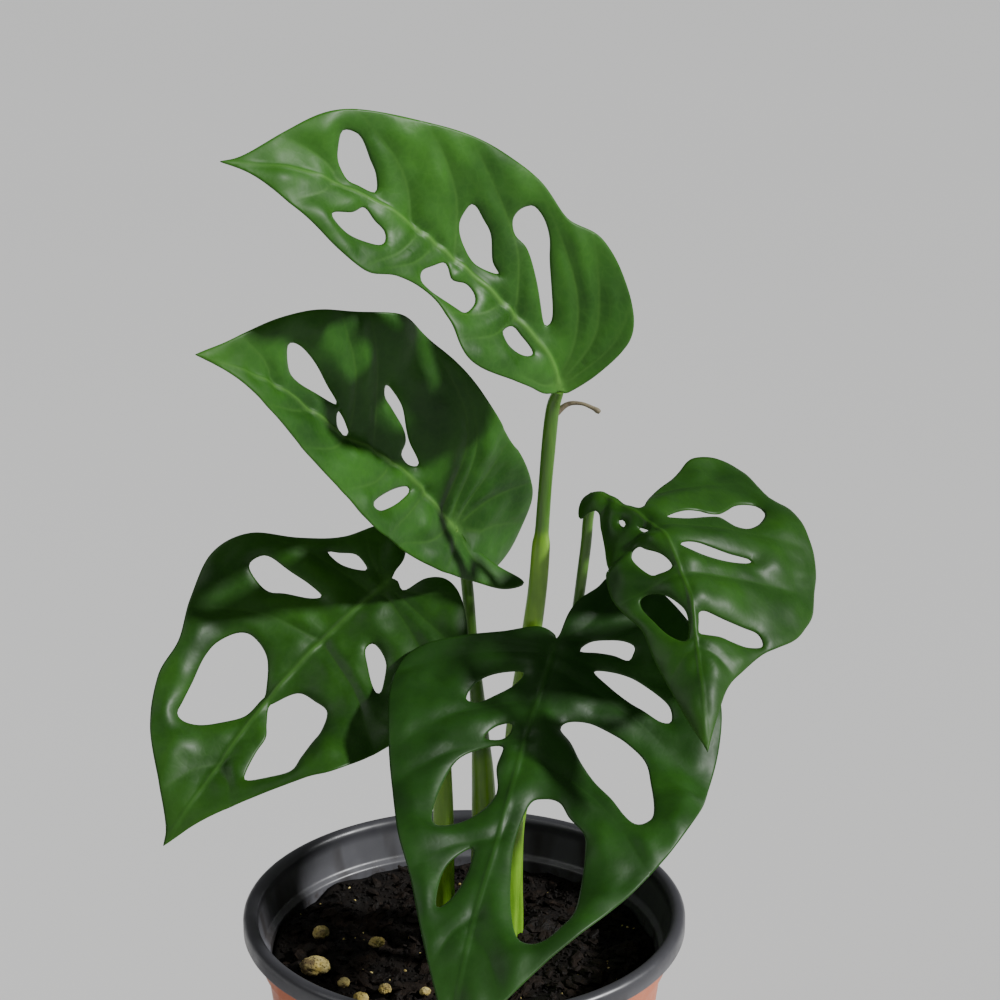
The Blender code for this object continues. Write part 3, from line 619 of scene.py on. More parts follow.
def flat_points(leaf, lines, loops):
    """The edge points, then the guides and an even grid wherever there is room between them."""
    border = np.vstack(loops)
    low, high = border.min(0), border.max(0)
    grid = np.array([(u, v)
                     for row, u in enumerate(np.arange(low[0], high[0], BLADE_STEP * ROW_SHARE))
                     for v in np.arange(low[1] + BLADE_STEP / 2 * (row % 2), high[1], BLADE_STEP)])
    picked = border
    for cloud, gap in ((guide_points(leaf, lines, loops), GUIDE_GAP), (grid, GRID_GAP)):
        far, _ = nearest(cloud, tree_of(picked))
        picked = np.vstack([picked, cloud[far > gap]])
    return picked


def flat_blade(leaf, lines):
    """The flat blade as points and triangles, and its edge points."""
    loops = [blade_outline(leaf)] + [hole_outline(hole) for hole in leaf["holes"]]
    edges, start = [], 0
    for loop in loops:
        count = len(loop)
        edges += [(start + i, start + (i + 1) % count) for i in range(count)]
        start += count
    points = flat_points(leaf, lines, loops)
    flat, _, faces, *_ = geometry.delaunay_2d_cdt([Vector(p) for p in points], edges, [], 0, 1e-5)
    flat = np.array([tuple(p) for p in flat])
    faces = np.array([tuple(f) for f in faces])
    middles = flat[faces].mean(1)
    kept = in_loop(middles, loops[0])
    for loop in loops[1:]:
        kept &= ~in_loop(middles, loop)
    faces = faces[kept]
    used = np.unique(faces)
    new_index = np.full(len(flat), -1)
    new_index[used] = np.arange(len(used))
    return flat[used], new_index[faces], loops


# %% [markdown]
# ### Relief of the blade
# The upper skin sinks along the side veins and swells between them, like a quilt. The midrib
# runs in a shallow channel with a thin pale rib in it, and stands out as a round cord below.
# Margins and the rims of the holes curl down a little. These are real moves of the mesh. Only
# the finest net of veins is left to the bump in the material.

# %% Relief
THICKNESS = 0.46
RIM_THICKNESS = 0.20
VEIN_DEPTH, VEIN_WIDTH = 0.55, 1.5
QUILT_HEIGHT, QUILT_WIDTH = 0.55, 4.5
CHANNEL_DEPTH, CHANNEL_WIDTH = 0.50, 2.1
RIB_HEIGHT = 0.38
CORD_AT_STALK, CORD_AT_TIP = 1.30, 0.15
VEIN_BELOW = 0.30
SWELLS = ((1.0, 6.5), (0.10, 2.6))
HOLE_CURL, MARGIN_CURL = 0.6, 0.40
TIP_START = 0.72
KNOT_PLACE, KNOT_SIZE = 1.5, 3.6


def bell(distance, width):
    return np.exp(-(distance / width) ** 2)


def blade_relief(leaf, flat, lines, loops):
    """Lift of the middle of the blade, both half thicknesses, and what the material reads."""
    u, v = flat[:, 0], flat[:, 1]
    length = leaf["tip"]
    share = np.clip(u / length, 0, 1)
    starts = np.concatenate([np.linspace(0, 1, len(line)) for line in lines])
    to_vein, which = nearest(flat, tree_of(np.vstack(lines)))
    fade = 1 - 0.75 * starts[which] ** 2
    to_edge, _ = nearest(flat, tree_of(np.vstack(loops)))
    to_hole, _ = nearest(flat, tree_of(np.vstack(loops[1:])))
    on_blade = np.where(u > 0, 1.0, np.exp(u / 2))
    rib = bell(v, 0.54 - 0.24 * share) * on_blade * (1 - share ** 4)
    lift = -VEIN_DEPTH * bell(to_vein, VEIN_WIDTH) * fade
    lift += QUILT_HEIGHT * (1 - bell(to_vein, QUILT_WIDTH)) * np.clip(to_edge / 4, 0, 1)
    lift -= CHANNEL_DEPTH * bell(v, CHANNEL_WIDTH) * on_blade
    lift += RIB_HEIGHT * rib
    swell = sum(high * np.array([noise.noise((a / wide, b / wide, length)) for a, b in flat])
                for high, wide in SWELLS)
    lift += swell * (1 - bell(to_vein, 2.0)) * np.clip(to_edge / 3, 0, 1)
    lift -= HOLE_CURL * np.exp(-to_hole / 2.0)
    lift -= MARGIN_CURL * np.exp(-to_edge / 2.2)
    rounded = np.sqrt(np.clip(to_edge / 0.9, 0, 1))
    above = (RIM_THICKNESS + (THICKNESS - RIM_THICKNESS) * rounded) / 2
    cord = (CORD_AT_STALK - CORD_AT_TIP) * (1 - share) + CORD_AT_TIP
    below = above + cord * bell(v, 0.55 + 0.75 * (1 - share)) * on_blade
    below = below + VEIN_BELOW * bell(to_vein, 0.55) * fade * rounded
    tip = np.clip((share - TIP_START) / (1 - TIP_START), 0, 1) ** 1.5
    # The valley value tells the skin where to paint shade in the vein valleys.
    told = {"vein": bell(to_vein, 0.42) * fade, "valley_shade": bell(to_vein, 1.7) * fade, "rib": rib,
            "edge": bell(to_edge, 0.42), "tip": tip,
            "knot": bell(np.hypot(u - KNOT_PLACE, v), KNOT_SIZE)}
    return lift, above, below, told


def surface_normals(points, faces):
    normals = np.zeros_like(points)
    a, b, c = (points[faces[:, k]] for k in range(3))
    for k in range(3):
        np.add.at(normals, faces[:, k], np.cross(b - a, c - a))
    return unit(normals)


def open_edges(faces):
    """The directed edges that only one face uses."""
    sides = np.vstack([faces[:, [0, 1]], faces[:, [1, 2]], faces[:, [2, 0]]])
    seen = {(int(i), int(j)) for i, j in sides}
    return [(i, j) for i, j in sorted(seen) if (j, i) not in seen]


# %% [markdown]
# ### Leaf skin
# The skin is a mid green with painted shade darkening the vein valleys, yellower towards the young
# tip, with a pale rib and a paler, duller underside. It is waxy: fairly smooth, with soft wide
# highlights. The colour is built in layers from what the mesh tells at each point, so it follows
# the veins in every view. A net of fine cells gives the leathery grain between the veins.

# %% Leaf skin
# What the mesh tells, how strongly it shows, and the green that shows there. Later ones cover
# earlier ones.
UPPER_LAYERS = (("vein", 0.24, "rib"), ("tip", 0.60, "tip"), ("rib", 0.70, "rib"),
                ("knot", 0.25, "rib"), ("edge", 0.35, "tip"))
PALE_UNDER = (0.09, 0.21, 0.04)


def fine_net(tree):
    """The middles of the small cells between the veins, 1 inside and 0 on the net."""
    blade = add(tree, "ShaderNodeUVMap", uv_map="blade").outputs["UV"]
    shift = add(tree, "ShaderNodeTexNoise", {"Vector": blade, "Scale": 24.0}).outputs["Color"]
    net = add(tree, "ShaderNodeTexVoronoi",
              {"Vector": blend(tree, 0.02, blade, shift, "ADD"), "Scale": 52.0},
              feature="DISTANCE_TO_EDGE")
    return spread(tree, net.outputs["Distance"], 0.0, 0.22)


def leaf_skin(name, green):
    material, tree, skin = new_material(name)
    place = in_place(tree)
    cells = fine_net(tree)
    colour = blend(tree, patches(tree, place, 60, 3.0, 0.32, 0.68), green["dark"], green["light"])
    freckle = patches(tree, place, 620, 2.0, 0.35, 0.7, roughness=0.6)
    colour = blend(tree, times(tree, freckle, 0.22), colour, green["dark"])
    # Painted shade: the vein valleys are darkened towards the leaf's dark green.
    colour = blend(tree, times(tree, attribute(tree, "valley_shade"), 0.50), colour, green["dark"])
    colour = blend(tree, times(tree, maths(tree, "SUBTRACT", 1.0, cells), 0.05), colour,
                   green["rib"])
    for told, strength, which in UPPER_LAYERS:
        colour = blend(tree, times(tree, attribute(tree, told), strength), colour, green[which])
    under = attribute(tree, "under")
    pale = blend(tree, 0.55, colour, PALE_UNDER)
    wear(tree, skin, blend(tree, under, colour, pale), "Base Color")
    gloss = patches(tree, place, 200, 3.0, 0.3, 0.7, 0.42, 0.54)
    for told, duller in (("under", 0.18), ("tip", 0.16)):
        gloss = maths(tree, "ADD", gloss, times(tree, attribute(tree, told), duller))
    wear(tree, skin, gloss, "Roughness")
    skin.inputs["IOR"].default_value = 1.42
    skin.inputs["Specular IOR Level"].default_value = 0.30
    skin.inputs["Coat Weight"].default_value = 0.05
    skin.inputs["Coat Roughness"].default_value = 0.36
    relief(tree, skin, [(cells, 0.008), (grain(tree, place, 1100, 2.0), 0.006)])
    return material


# %% Make the blades
def make_blade(name, leaf):
    """The fine blade in place of its solid."""
    lines = vein_lines(leaf)
    flat, faces, loops = flat_blade(leaf, lines)
    lift, above, below, told = blade_relief(leaf, flat, lines, loops)
    middle = Midrib(leaf).bend(flat[:, 0], flat[:, 1])
    normals = surface_normals(middle, faces)
    middle = middle + normals * lift[:, None]
    normals = surface_normals(middle, faces)
    count = len(flat)
    points = np.vstack([middle + normals * above[:, None], middle - normals * below[:, None]])
    all_faces = faces.tolist() + (faces[:, ::-1] + count).tolist()
    for i, j in open_edges(faces):
        all_faces.append((j, i, i + count, j + count))
    skin = leaf_skin(f"{name}_skin", leaf["green"])
    piece = new_piece(f"{name}_blade", points, all_faces, [skin])
    for key, values in told.items():
        keep_value(piece, key, np.tile(values, 2))
    keep_value(piece, "under", np.repeat([0.0, 1.0], count))
    layer = piece.data.uv_layers.new(name="blade")
    corner = np.zeros(len(piece.data.loops), int)
    piece.data.loops.foreach_get("vertex_index", corner)
    drawn = np.tile(flat, (2, 1))[corner] / 100
    layer.uv.foreach_set("vector", drawn.astype(np.float32).ravel())
    settle(piece, "leaf_skin", name)


for name, leaf in LEAVES.items():
    make_blade(name, leaf)

# %% [markdown]
# ## The stalks
# Each leaf stands on a petiole, a round green stem with a shallow channel. Its lower part is
# a sheath: the channel opens into two thin wings that once wrapped the next young leaf, and the
# wings stop in a small step. A petiole follows a path, so Geometry Nodes sweep a ring along it.
# The spine is a line of points that carries its own radius and how far the sheath is open, and
# a curve in the tree shapes the ring from that. Below the soil the stalk just goes on.

# %% Geometry node helpers
def read_value(tree, name):
    """A number that the points carry."""
    return add(tree, "GeometryNodeInputNamedAttribute", {"Name": name},
               data_type="FLOAT").outputs[0]


def scaled(tree, vector, by):
    return add(tree, "ShaderNodeVectorMath", {0: vector, "Scale": by},
               operation="SCALE").outputs[0]


def dress(tree, geometry, material, out):
    """The last step of a tree: its faces get their material."""
    dressed = add(tree, "GeometryNodeSetMaterial", {"Geometry": geometry, "Material": material})
    tree.links.new(dressed.outputs[0], out.inputs[0])


def new_tree(name, inputs):
    """A geometry node tree with named inputs, and its input and output nodes."""
    tree = bpy.data.node_groups.new(name, "GeometryNodeTree")
    face = tree.interface
    face.new_socket("Geometry", in_out="INPUT", socket_type="NodeSocketGeometry")
    for label, kind in inputs:
        face.new_socket(label, in_out="INPUT", socket_type=kind)
    face.new_socket("Geometry", in_out="OUTPUT", socket_type="NodeSocketGeometry")
    return tree, tree.nodes.new("NodeGroupInput").outputs, tree.nodes.new("NodeGroupOutput")


def make_plain(piece):
    """The piece keeps the mesh that its modifiers make, and loses the modifiers."""
    graph = bpy.context.evaluated_depsgraph_get()
    mesh = bpy.data.meshes.new_from_object(piece.evaluated_get(graph))
    piece.modifiers.clear()
    piece.data = mesh


def grow(piece, tree, values):
    """The piece becomes the plain mesh that a tree makes of it with these values."""
    modifier = piece.modifiers.new(tree.name, "NODES")
    modifier.node_group = tree
    for item in tree.interface.items_tree:
        if item.in_out == "INPUT" and item.name in values:
            modifier[item.identifier] = values[item.name]
    make_plain(piece)


# %% The sweep
# The height of the skin at points round the ring, from 0 to 1 turn. 0.5 is the plain ring, and
# two wings stand at either side of the channel in the middle.
SHEATH_RING = ((0.30, 0.5), (0.38, 0.74), (0.43, 0.60), (0.5, 0.12), (0.57, 0.60), (0.62, 0.74),
               (0.70, 0.5))


def sweep_tree():
    tree, given, out = new_tree("stalk_sweep", [
        ("Sides", "NodeSocketInt"), ("Channel", "NodeSocketFloat"),
        ("Skin", "NodeSocketMaterial")])
    ring = add(tree, "GeometryNodeCurvePrimitiveCircle", {"Resolution": given["Sides"]})
    turn = add(tree, "GeometryNodeSplineParameter").outputs["Factor"]
    ring = add(tree, "GeometryNodeStoreNamedAttribute",
               {"Geometry": ring.outputs[0], "Name": "turn", "Value": turn},
               data_type="FLOAT", domain="POINT")
    spine = add(tree, "GeometryNodeMeshToCurve", {0: given["Geometry"]})
    tube = add(tree, "GeometryNodeCurveToMesh",
               {"Curve": spine.outputs[0], "Profile Curve": ring.outputs[0],
                "Scale": read_value(tree, "radius"), "Fill Caps": True})
    shape = add(tree, "ShaderNodeFloatCurve", {"Value": read_value(tree, "turn")})
    points = shape.mapping.curves[0].points
    for at, height in SHEATH_RING:
        points.new(at, height)
    points[0].location = (0.0, 0.5)
    points[-1].location = (1.0, 0.5)
    shape.mapping.update()
    depth = times(tree, maths(tree, "SUBTRACT", shape.outputs[0], 0.5), read_value(tree, "radius"))
    depth = times(tree, depth, maths(tree, "MAXIMUM", read_value(tree, "sheath"), given["Channel"]))
    push = scaled(tree, add(tree, "GeometryNodeInputNormal").outputs[0], depth)
    shaped = add(tree, "GeometryNodeSetPosition", {"Geometry": tube.outputs[0], "Offset": push})
    smooth = add(tree, "GeometryNodeSetShadeSmooth", {"Geometry": shaped.outputs[0]})
    real = add(tree, "GeometryNodeRealizeInstances", {"Geometry": smooth.outputs[0]})
    dress(tree, real.outputs[0], given["Skin"], out)
    return tree


# %% Stalk skin
def stalk_skin():
    """Pale yellow green in the sheath, greener above, with fine lengthwise streaks."""
    material, tree, skin = new_material("stalk_skin")
    place = in_place(tree)
    squeeze = add(tree, "ShaderNodeMapping", {"Vector": place, "Scale": (1.0, 1.0, 0.07)})
    streak = patches(tree, squeeze.outputs[0], 900, 3.0, 0.3, 0.7)
    pale = blend(tree, streak, (0.14, 0.32, 0.016), (0.21, 0.42, 0.030))
    deep = blend(tree, streak, (0.030, 0.100, 0.010), (0.060, 0.160, 0.018))
    colour = blend(tree, attribute(tree, "pale"), deep, pale)
    blotch = patches(tree, place, 160, 3.0, 0.45, 0.75, 0.0, 0.35)
    colour = blend(tree, blotch, colour, (0.045, 0.14, 0.012))
    wear(tree, skin, colour, "Base Color")
    wear(tree, skin, spread(tree, streak, 0.0, 1.0, 0.32, 0.46), "Roughness")
    skin.inputs["Subsurface Weight"].default_value = 0.12
    skin.inputs["Subsurface Radius"].default_value = (0.0010, 0.0016, 0.0004)
    relief(tree, skin, [(streak, 0.05), (grain(tree, place, 2200, 2.0), 0.02)])
    return material


# %% Stalk paths
# Points are (x, y, z, radius), and the number after them is the height where the sheath ends.
STALKS = {
    "stalk_top": ([(9.5, 0, 66, 2.3), (9.5, 0, 78, 2.4), (10.5, 1, 101, 2.5), (11.5, 2, 128, 2.4),
                   (14.2, 4.5, 147, 2.3), (16.2, 5.5, 162, 2.1), (17.0, 5.5, 173, 2.0),
                   (17.2, 5.7, 176.5, 1.55), (18.1, 6.2, 190, 1.5), (19.3, 7.4, 203, 1.5),
                   (20.6, 5.8, 208.2, 1.15)], 176),
    "stalk_left": ([(4, 8.5, 66, 2.5), (4, 8.5, 78, 2.7), (4.4, 9, 108, 2.8), (3.5, 11, 127, 1.9),
                    (1.9, 14.5, 145, 1.35), (0.7, 17.5, 159, 1.35), (-0.6, 19.0, 169, 1.3),
                    (-2.4, 16.4, 172.4, 0.95)], 121),
    "stalk_low_left": ([(-4.5, 4, 66, 2.0), (-4.5, 4, 78, 2.2), (-4.7, 4.5, 108, 2.3),
                        (-5.2, 8.5, 128, 1.6), (-9, 12.5, 141, 1.3), (-13.2, 15.2, 150.5, 1.3),
                        (-16, 15.6, 157.5, 1.3), (-17.8, 12.8, 159.8, 0.95)], 120),
    "stalk_front": ([(4.5, -7, 66, 1.8), (4.5, -7, 78, 1.9), (8, -6, 101, 1.6),
                     (11, -4.5, 117, 1.4), (14.6, -1.5, 134, 1.2), (18, 1.6, 145, 1.2),
                     (19.6, 1.8, 149.3, 1.2), (19.6, -1.8, 150.9, 0.9)], 104),
    "stalk_right": ([(11.5, 8.5, 66, 1.8), (11.5, 8.5, 78, 1.9), (12.2, 8.5, 106, 1.7),
                     (19, 8.5, 127, 1.3), (24, 9.3, 149, 1.2), (26.7, 10.3, 169, 1.2),
                     (27.4, 10.4, 177.5, 1.2), (28.3, 9.3, 182, 1.1), (30.2, 6.4, 183.8, 0.9)], 113),
}
STIPULE = [(19.6, 7.6, 202.0, 0.8), (22.5, 8, 204.4, 0.55), (25.5, 8, 204.6, 0.40),
           (28.0, 8, 203.6, 0.45), (29.0, 8, 203.0, 0.62), (29.5, 8, 202.6, 0.45)]
STALK_STEP, STIPULE_STEP = 1.1, 0.4
SHEATH_OPEN = 0.55
SHEATH_STEP = 0.5
PALE_RISE, PALE_FADE = 4, 7
UNEVEN, UNEVEN_LENGTH = 0.05, 9.0


def spine_line(name, path):
    """A line of points in place, for the sweep to follow."""
    mesh = bpy.data.meshes.new(name)
    mesh.from_pydata((path[:, :3] * MM).tolist(), [(i, i + 1) for i in range(len(path) - 1)], [])
    return placed(name, mesh)


def make_stalk(name, points, sheath_top, tree, skin):
    """A petiole in place of its solid."""
    path = evenly(curve_through(points), STALK_STEP)
    piece = spine_line(f"{name}_petiole", path)
    above = path[:, 2] - sheath_top
    step = 1 / (1 + np.exp(above / SHEATH_STEP))
    bumps = np.array([noise.noise(tuple(p / UNEVEN_LENGTH)) for p in path[:, :3]])
    keep_value(piece, "radius", path[:, 3] * MM * (1 + UNEVEN * bumps))
    keep_value(piece, "sheath", SHEATH_OPEN * step)
    fade = 1 / (1 + np.exp((above - PALE_RISE) / PALE_FADE))
    keep_value(piece, "pale", np.maximum(0.8 * step + 0.2 * fade, 0.16))
    grow(piece, tree, {"Sides": 28, "Channel": 0.12, "Skin": skin})
    settle(piece, "stalk_skin", name)


sweep = sweep_tree()
skin = stalk_skin()
for name, (points, sheath_top) in STALKS.items():
    make_stalk(name, points, sheath_top, sweep, skin)

# %% [markdown]
# ### The stipule and the crown
# A dried scrap of the old leaf sheath stands off the top of the tallest stalk, brown and thin
# with a small club at its end. It uses the same sweep as the stalks. The crown is the stub of
# stem between the stalks, ringed by old leaf scars, half sunk in the soil.

# %% Stipule
def husk():
    material, tree, skin = new_material("dried_sheath")
    place = in_place(tree)
    patch = patches(tree, place, 700, 3.0, 0.3, 0.7)
    wear(tree, skin, blend(tree, patch, (0.10, 0.075, 0.045), (0.20, 0.17, 0.10)), "Base Color")
    wear(tree, skin, spread(tree, patch, 0, 1, 0.55, 0.75), "Roughness")
    relief(tree, skin, [(patch, 0.08)])
    return material


path = evenly(curve_through(STIPULE), STIPULE_STEP)
stipule = spine_line("stalk_top_stipule", path)
keep_value(stipule, "radius", path[:, 3] * MM)
keep_value(stipule, "sheath", np.zeros(len(path)))
grow(stipule, sweep, {"Sides": 14, "Channel": 0.3, "Skin": husk()})
settle(stipule, "stalk_skin")

# %% Crown
CROWN = (2.5, 0.5)
CROWN_RADIUS = 2.9
CROWN_TOP = 83.0
CROWN_FOOT = 66.5
CROWN_SIDES, CROWN_RINGS = 32, 40
SCAR_DEPTH, SCAR_STEP = 0.10, 2.6
DOME_SHARE = 0.14


def turned(profile, sides):
    """Points and faces of a body turned from a profile that meets the axis at both ends."""
    rings = np.array(profile[1:-1])
    angle = 2 * math.pi * np.arange(sides) / sides
    points = np.stack([np.outer(rings[:, 0], np.cos(angle)), np.outer(rings[:, 0], np.sin(angle)),
                       np.repeat(rings[:, 1:], sides, 1)], -1).reshape(-1, 3)
    faces = []
    for row in range(len(rings) - 1):
        for i in range(sides):
            j = (i + 1) % sides
            faces.append((row * sides + i, row * sides + j, (row + 1) * sides + j,
                          (row + 1) * sides + i))
    first, last = len(points), (len(rings) - 1) * sides
    points = np.vstack([points, [(0, 0, profile[0][1]), (0, 0, profile[-1][1])]])
    for i in range(sides):
        j = (i + 1) % sides
        faces.append((first, j, i))
        faces.append((first + 1, last + i, last + j))
    return points, faces


def make_crown(skin):
    """The stub of stem: old leaf scars ring it, and its top is a flat dome."""
    profile = [(0, CROWN_FOOT)]
    for z in np.linspace(CROWN_FOOT, CROWN_TOP, CROWN_RINGS):
        share = (z - CROWN_FOOT) / (CROWN_TOP - CROWN_FOOT)
        scar = SCAR_DEPTH * math.cos(2 * math.pi * z / SCAR_STEP)
        dome = max(share - (1 - DOME_SHARE), 0) ** 2 / DOME_SHARE ** 2
        top = math.sqrt(max(1 - dome, 0.0))
        profile.append((CROWN_RADIUS * (0.9 + 0.08 * share) * (0.25 + 0.75 * top) + scar, z))
    profile.append((0, CROWN_TOP))
    points, faces = turned(profile, CROWN_SIDES)
    points[:, :2] += CROWN
    piece = new_piece("crown_stub", points, faces, [skin])
    keep_value(piece, "pale", np.full(len(points), 0.45))
    settle(piece, "stalk_skin", "crown")


make_crown(skin)

# %% [markdown]
# ## The pot
# A nursery pot like this is drawn from one warm sheet of two plastics: terracotta orange
# outside, dark grey inside. Its rim is rolled outwards, so the dark inner side shows on the roll
# too. It is a body turned from one profile: foot, tapered wall, a step at the shoulder, collar,
# roll, and then down the inside. The profile is dense at the bends so that the edges look
# drawn, not cut.

# %% Pot profile
RIM_RADIUS = 50.0
RIM_TOP = 88.0
ROLL_HEIGHT = 4.6
ROLL_WIDTH = 3.3
ROLL_EDGE = 0.6
LIP_DEPTH = 3.0
WALL = 1.0
WALL_TOP_RADIUS = 45.0
SHOULDER_RADIUS = 46.2
SHOULDER_HEIGHT = 76.0
SHOULDER_STEP = 0.8
COLLAR_FLARE = 1.1
FOOT_RADIUS = 35.0
FLOOR_HEIGHT = 3.0


def wall_radius(z):
    return FOOT_RADIUS + (WALL_TOP_RADIUS - FOOT_RADIUS) * min(z / SHOULDER_HEIGHT, 1.0)


def rounded(corners, step=0.5):
    """A profile whose corners are rounded, from (radius, height, rounding) points."""
    made = []
    for before, here, after in zip(corners, corners[1:], corners[2:]):
        corner = np.array(here[:2], float)
        to_before, to_after = np.array(before[:2]) - corner, np.array(after[:2]) - corner
        back = min(here[2], np.linalg.norm(to_before) / 2.1, np.linalg.norm(to_after) / 2.1)
        start = corner + to_before / np.linalg.norm(to_before) * back
        end = corner + to_after / np.linalg.norm(to_after) * back
        for t in np.linspace(0, 1, 6 if back > 0.05 else 1):
            made.append(tuple((1 - t) ** 2 * start + 2 * t * (1 - t) * corner + t * t * end))
    return made


def pot_profile():
    """The closed profile, and how many of its rings are the orange outside."""
    low_roll = RIM_TOP - ROLL_HEIGHT
    collar = SHOULDER_RADIUS + COLLAR_FLARE
    outside = rounded([(0, 0, 0), (8, 0, 0), (FOOT_RADIUS - 4.5, 0, 0.1),
                       (FOOT_RADIUS - 0.6, 0, 1.8), (wall_radius(12), 12, 1),
                       (wall_radius(40), 40, 1),
                       (wall_radius(SHOULDER_HEIGHT), SHOULDER_HEIGHT, 0.5),
                       (SHOULDER_RADIUS, SHOULDER_HEIGHT + SHOULDER_STEP, 0.5),
                       (collar, low_roll, 0.02), (RIM_RADIUS - ROLL_EDGE, low_roll, 0.3)])
    middle = RIM_RADIUS - ROLL_WIDTH / 2
    crown = RIM_TOP - ROLL_WIDTH / 2
    roll = [(RIM_RADIUS - ROLL_EDGE, low_roll), (RIM_RADIUS - 0.18, low_roll + 0.18),
            (RIM_RADIUS, low_roll + ROLL_EDGE)]
    for degrees in range(0, 181, 12):
        angle = math.radians(degrees)
        roll.append((middle + ROLL_WIDTH / 2 * math.cos(angle),
                     crown + ROLL_WIDTH / 2 * math.sin(angle)))
    lip = RIM_RADIUS - ROLL_WIDTH
    inner = wall_radius(SHOULDER_HEIGHT) - WALL
    inside = rounded([(lip, crown, 0), (lip, RIM_TOP - LIP_DEPTH, 0.8),
                      (SHOULDER_RADIUS - WALL + 0.2, SHOULDER_HEIGHT + 2.8, 0.5),
                      (inner + 0.1, SHOULDER_HEIGHT + 1.9, 0.4),
                      (inner, SHOULDER_HEIGHT + 0.4, 0.5), (wall_radius(40) - WALL, 40, 1),
                      (wall_radius(FLOOR_HEIGHT) - WALL, FLOOR_HEIGHT, 1.5),
                      (8, FLOOR_HEIGHT, 0.1), (0, FLOOR_HEIGHT, 0)])
    return [(0, 0)] + outside + roll + inside + [(0, FLOOR_HEIGHT)], len(outside)


# %% Pot plastics
ROLL_SHADE = (84.0, 86.2)
SPLASH_LINE = (74.0, 80.0)


def outer_plastic():
    """Satin terracotta with the faint sag and scuffs of a thin drawn sheet."""
    material, tree, skin = new_material("terracotta_plastic")
    place = in_place(tree)
    cloud = patches(tree, place, 30, 3.0, 0.3, 0.7)
    colour = blend(tree, cloud, (0.47, 0.130, 0.060), (0.56, 0.175, 0.085))
    dust = patches(tree, place, 260, 5.0, 0.55, 0.8, 0.0, 0.25, roughness=0.65)
    wear(tree, skin, blend(tree, dust, colour, (0.60, 0.36, 0.25)), "Base Color")
    wear(tree, skin, patches(tree, place, 420, 4.0, 0.3, 0.7, 0.36, 0.52), "Roughness")
    stretch = add(tree, "ShaderNodeMapping", {"Vector": place, "Scale": (1.0, 1.0, 0.12)})
    relief(tree, skin, [(grain(tree, place, 45, 2.0), 0.30),
                        (grain(tree, stretch.outputs[0], 500, 2.0), 0.02)])
    return material


def inner_plastic():
    """Dark grey gloss, darker on the roll, with soil splashes low down and dirt that ran down."""
    material, tree, skin = new_material("grey_plastic")
    place = in_place(tree)
    height = add(tree, "ShaderNodeSeparateXYZ", {0: place}).outputs["Z"]
    rolled = spread(tree, height, ROLL_SHADE[0] * MM, ROLL_SHADE[1] * MM)
    low = spread(tree, height, SPLASH_LINE[0] * MM, SPLASH_LINE[1] * MM, 1.0, 0.0)
    splash = times(tree, patches(tree, place, 480, 5.0, 0.52, 0.66, roughness=0.7), low)
    run = add(tree, "ShaderNodeMapping", {"Vector": place, "Scale": (1.0, 1.0, 0.10)}).outputs[0]
    smear = times(tree, patches(tree, run, 85, 3.0, 0.53, 0.65, 0.0, 0.75),
                  maths(tree, "SUBTRACT", 1.0, rolled))
    speck = patches(tree, place, 1500, 3.0, 0.68, 0.76, 0.0, 0.25, roughness=0.7)
    cloud = patches(tree, place, 40, 3.0, 0.3, 0.7)
    colour = blend(tree, cloud, (0.070, 0.070, 0.078), (0.100, 0.100, 0.110))
    for mask, shade in ((rolled, (0.044, 0.044, 0.050)), (splash, (0.030, 0.022, 0.016)),
                        (smear, (0.020, 0.016, 0.014)), (speck, (0.20, 0.19, 0.18))):
        colour = blend(tree, mask, colour, shade)
    wear(tree, skin, colour, "Base Color")
    wear(tree, skin, patches(tree, place, 300, 4.0, 0.3, 0.7, 0.30, 0.44), "Roughness")
    relief(tree, skin, [(grain(tree, run, 70, 2.0), 0.4), (splash, 0.05)])
    return material


# %% Make the pot
POT_SIDES = 176
DRAIN_CIRCLE = 23.0
DRAIN_RADIUS = 3.6
DRAIN_COUNT = 6
DRAIN_SIDES = 28
SAG_TWO, SAG_FIVE = 0.0012, 0.0006
SHARP_ANGLE = math.radians(50)


def cut_drains(pot):
    """Six round holes through the floor, cut with plugs that are then removed."""
    plug = [(0, -1), (DRAIN_RADIUS, -1), (DRAIN_RADIUS, FLOOR_HEIGHT + 1), (0, FLOOR_HEIGHT + 1)]
    cutters = []
    for i in range(DRAIN_COUNT):
        angle = 2 * math.pi * (i + 0.5) / DRAIN_COUNT
        shape, sides = turned(plug, DRAIN_SIDES)
        shape[:, :2] += (DRAIN_CIRCLE * math.cos(angle), DRAIN_CIRCLE * math.sin(angle))
        cutters.append(new_piece("drain", shape, sides, []))
        hole = pot.modifiers.new("drain", "BOOLEAN")
        hole.operation = "DIFFERENCE"
        hole.solver = "MANIFOLD"
        hole.object = cutters[-1]
    make_plain(pot)
    for cutter in cutters:
        bpy.data.objects.remove(cutter)


def make_pot():
    """The turned pot, sagged a little out of round in two and in five waves, with its holes."""
    profile, outer_rings = pot_profile()
    points, faces = turned(profile, POT_SIDES)
    around = np.arctan2(points[:, 1], points[:, 0])
    sag = 1 + SAG_TWO * np.sin(2 * around + 0.7) + SAG_FIVE * np.sin(5 * around)
    points[:, :2] *= (sag / (1 + SAG_TWO + SAG_FIVE))[:, None]
    outer_faces = (outer_rings - 1) * POT_SIDES
    foot_pole = len(points) - 2
    looks = [0 if f[0] < outer_faces or (len(f) == 3 and f[0] == foot_pole) else 1
             for f in faces]
    pot = new_piece("pot_shell", points, faces, [outer_plastic(), inner_plastic()], looks)
    cut_drains(pot)
    pot.data.shade_smooth()
    pot.data.set_sharp_from_angle(angle=SHARP_ANGLE)
    settle(pot, "pot_plastic", "pot")


make_pot()

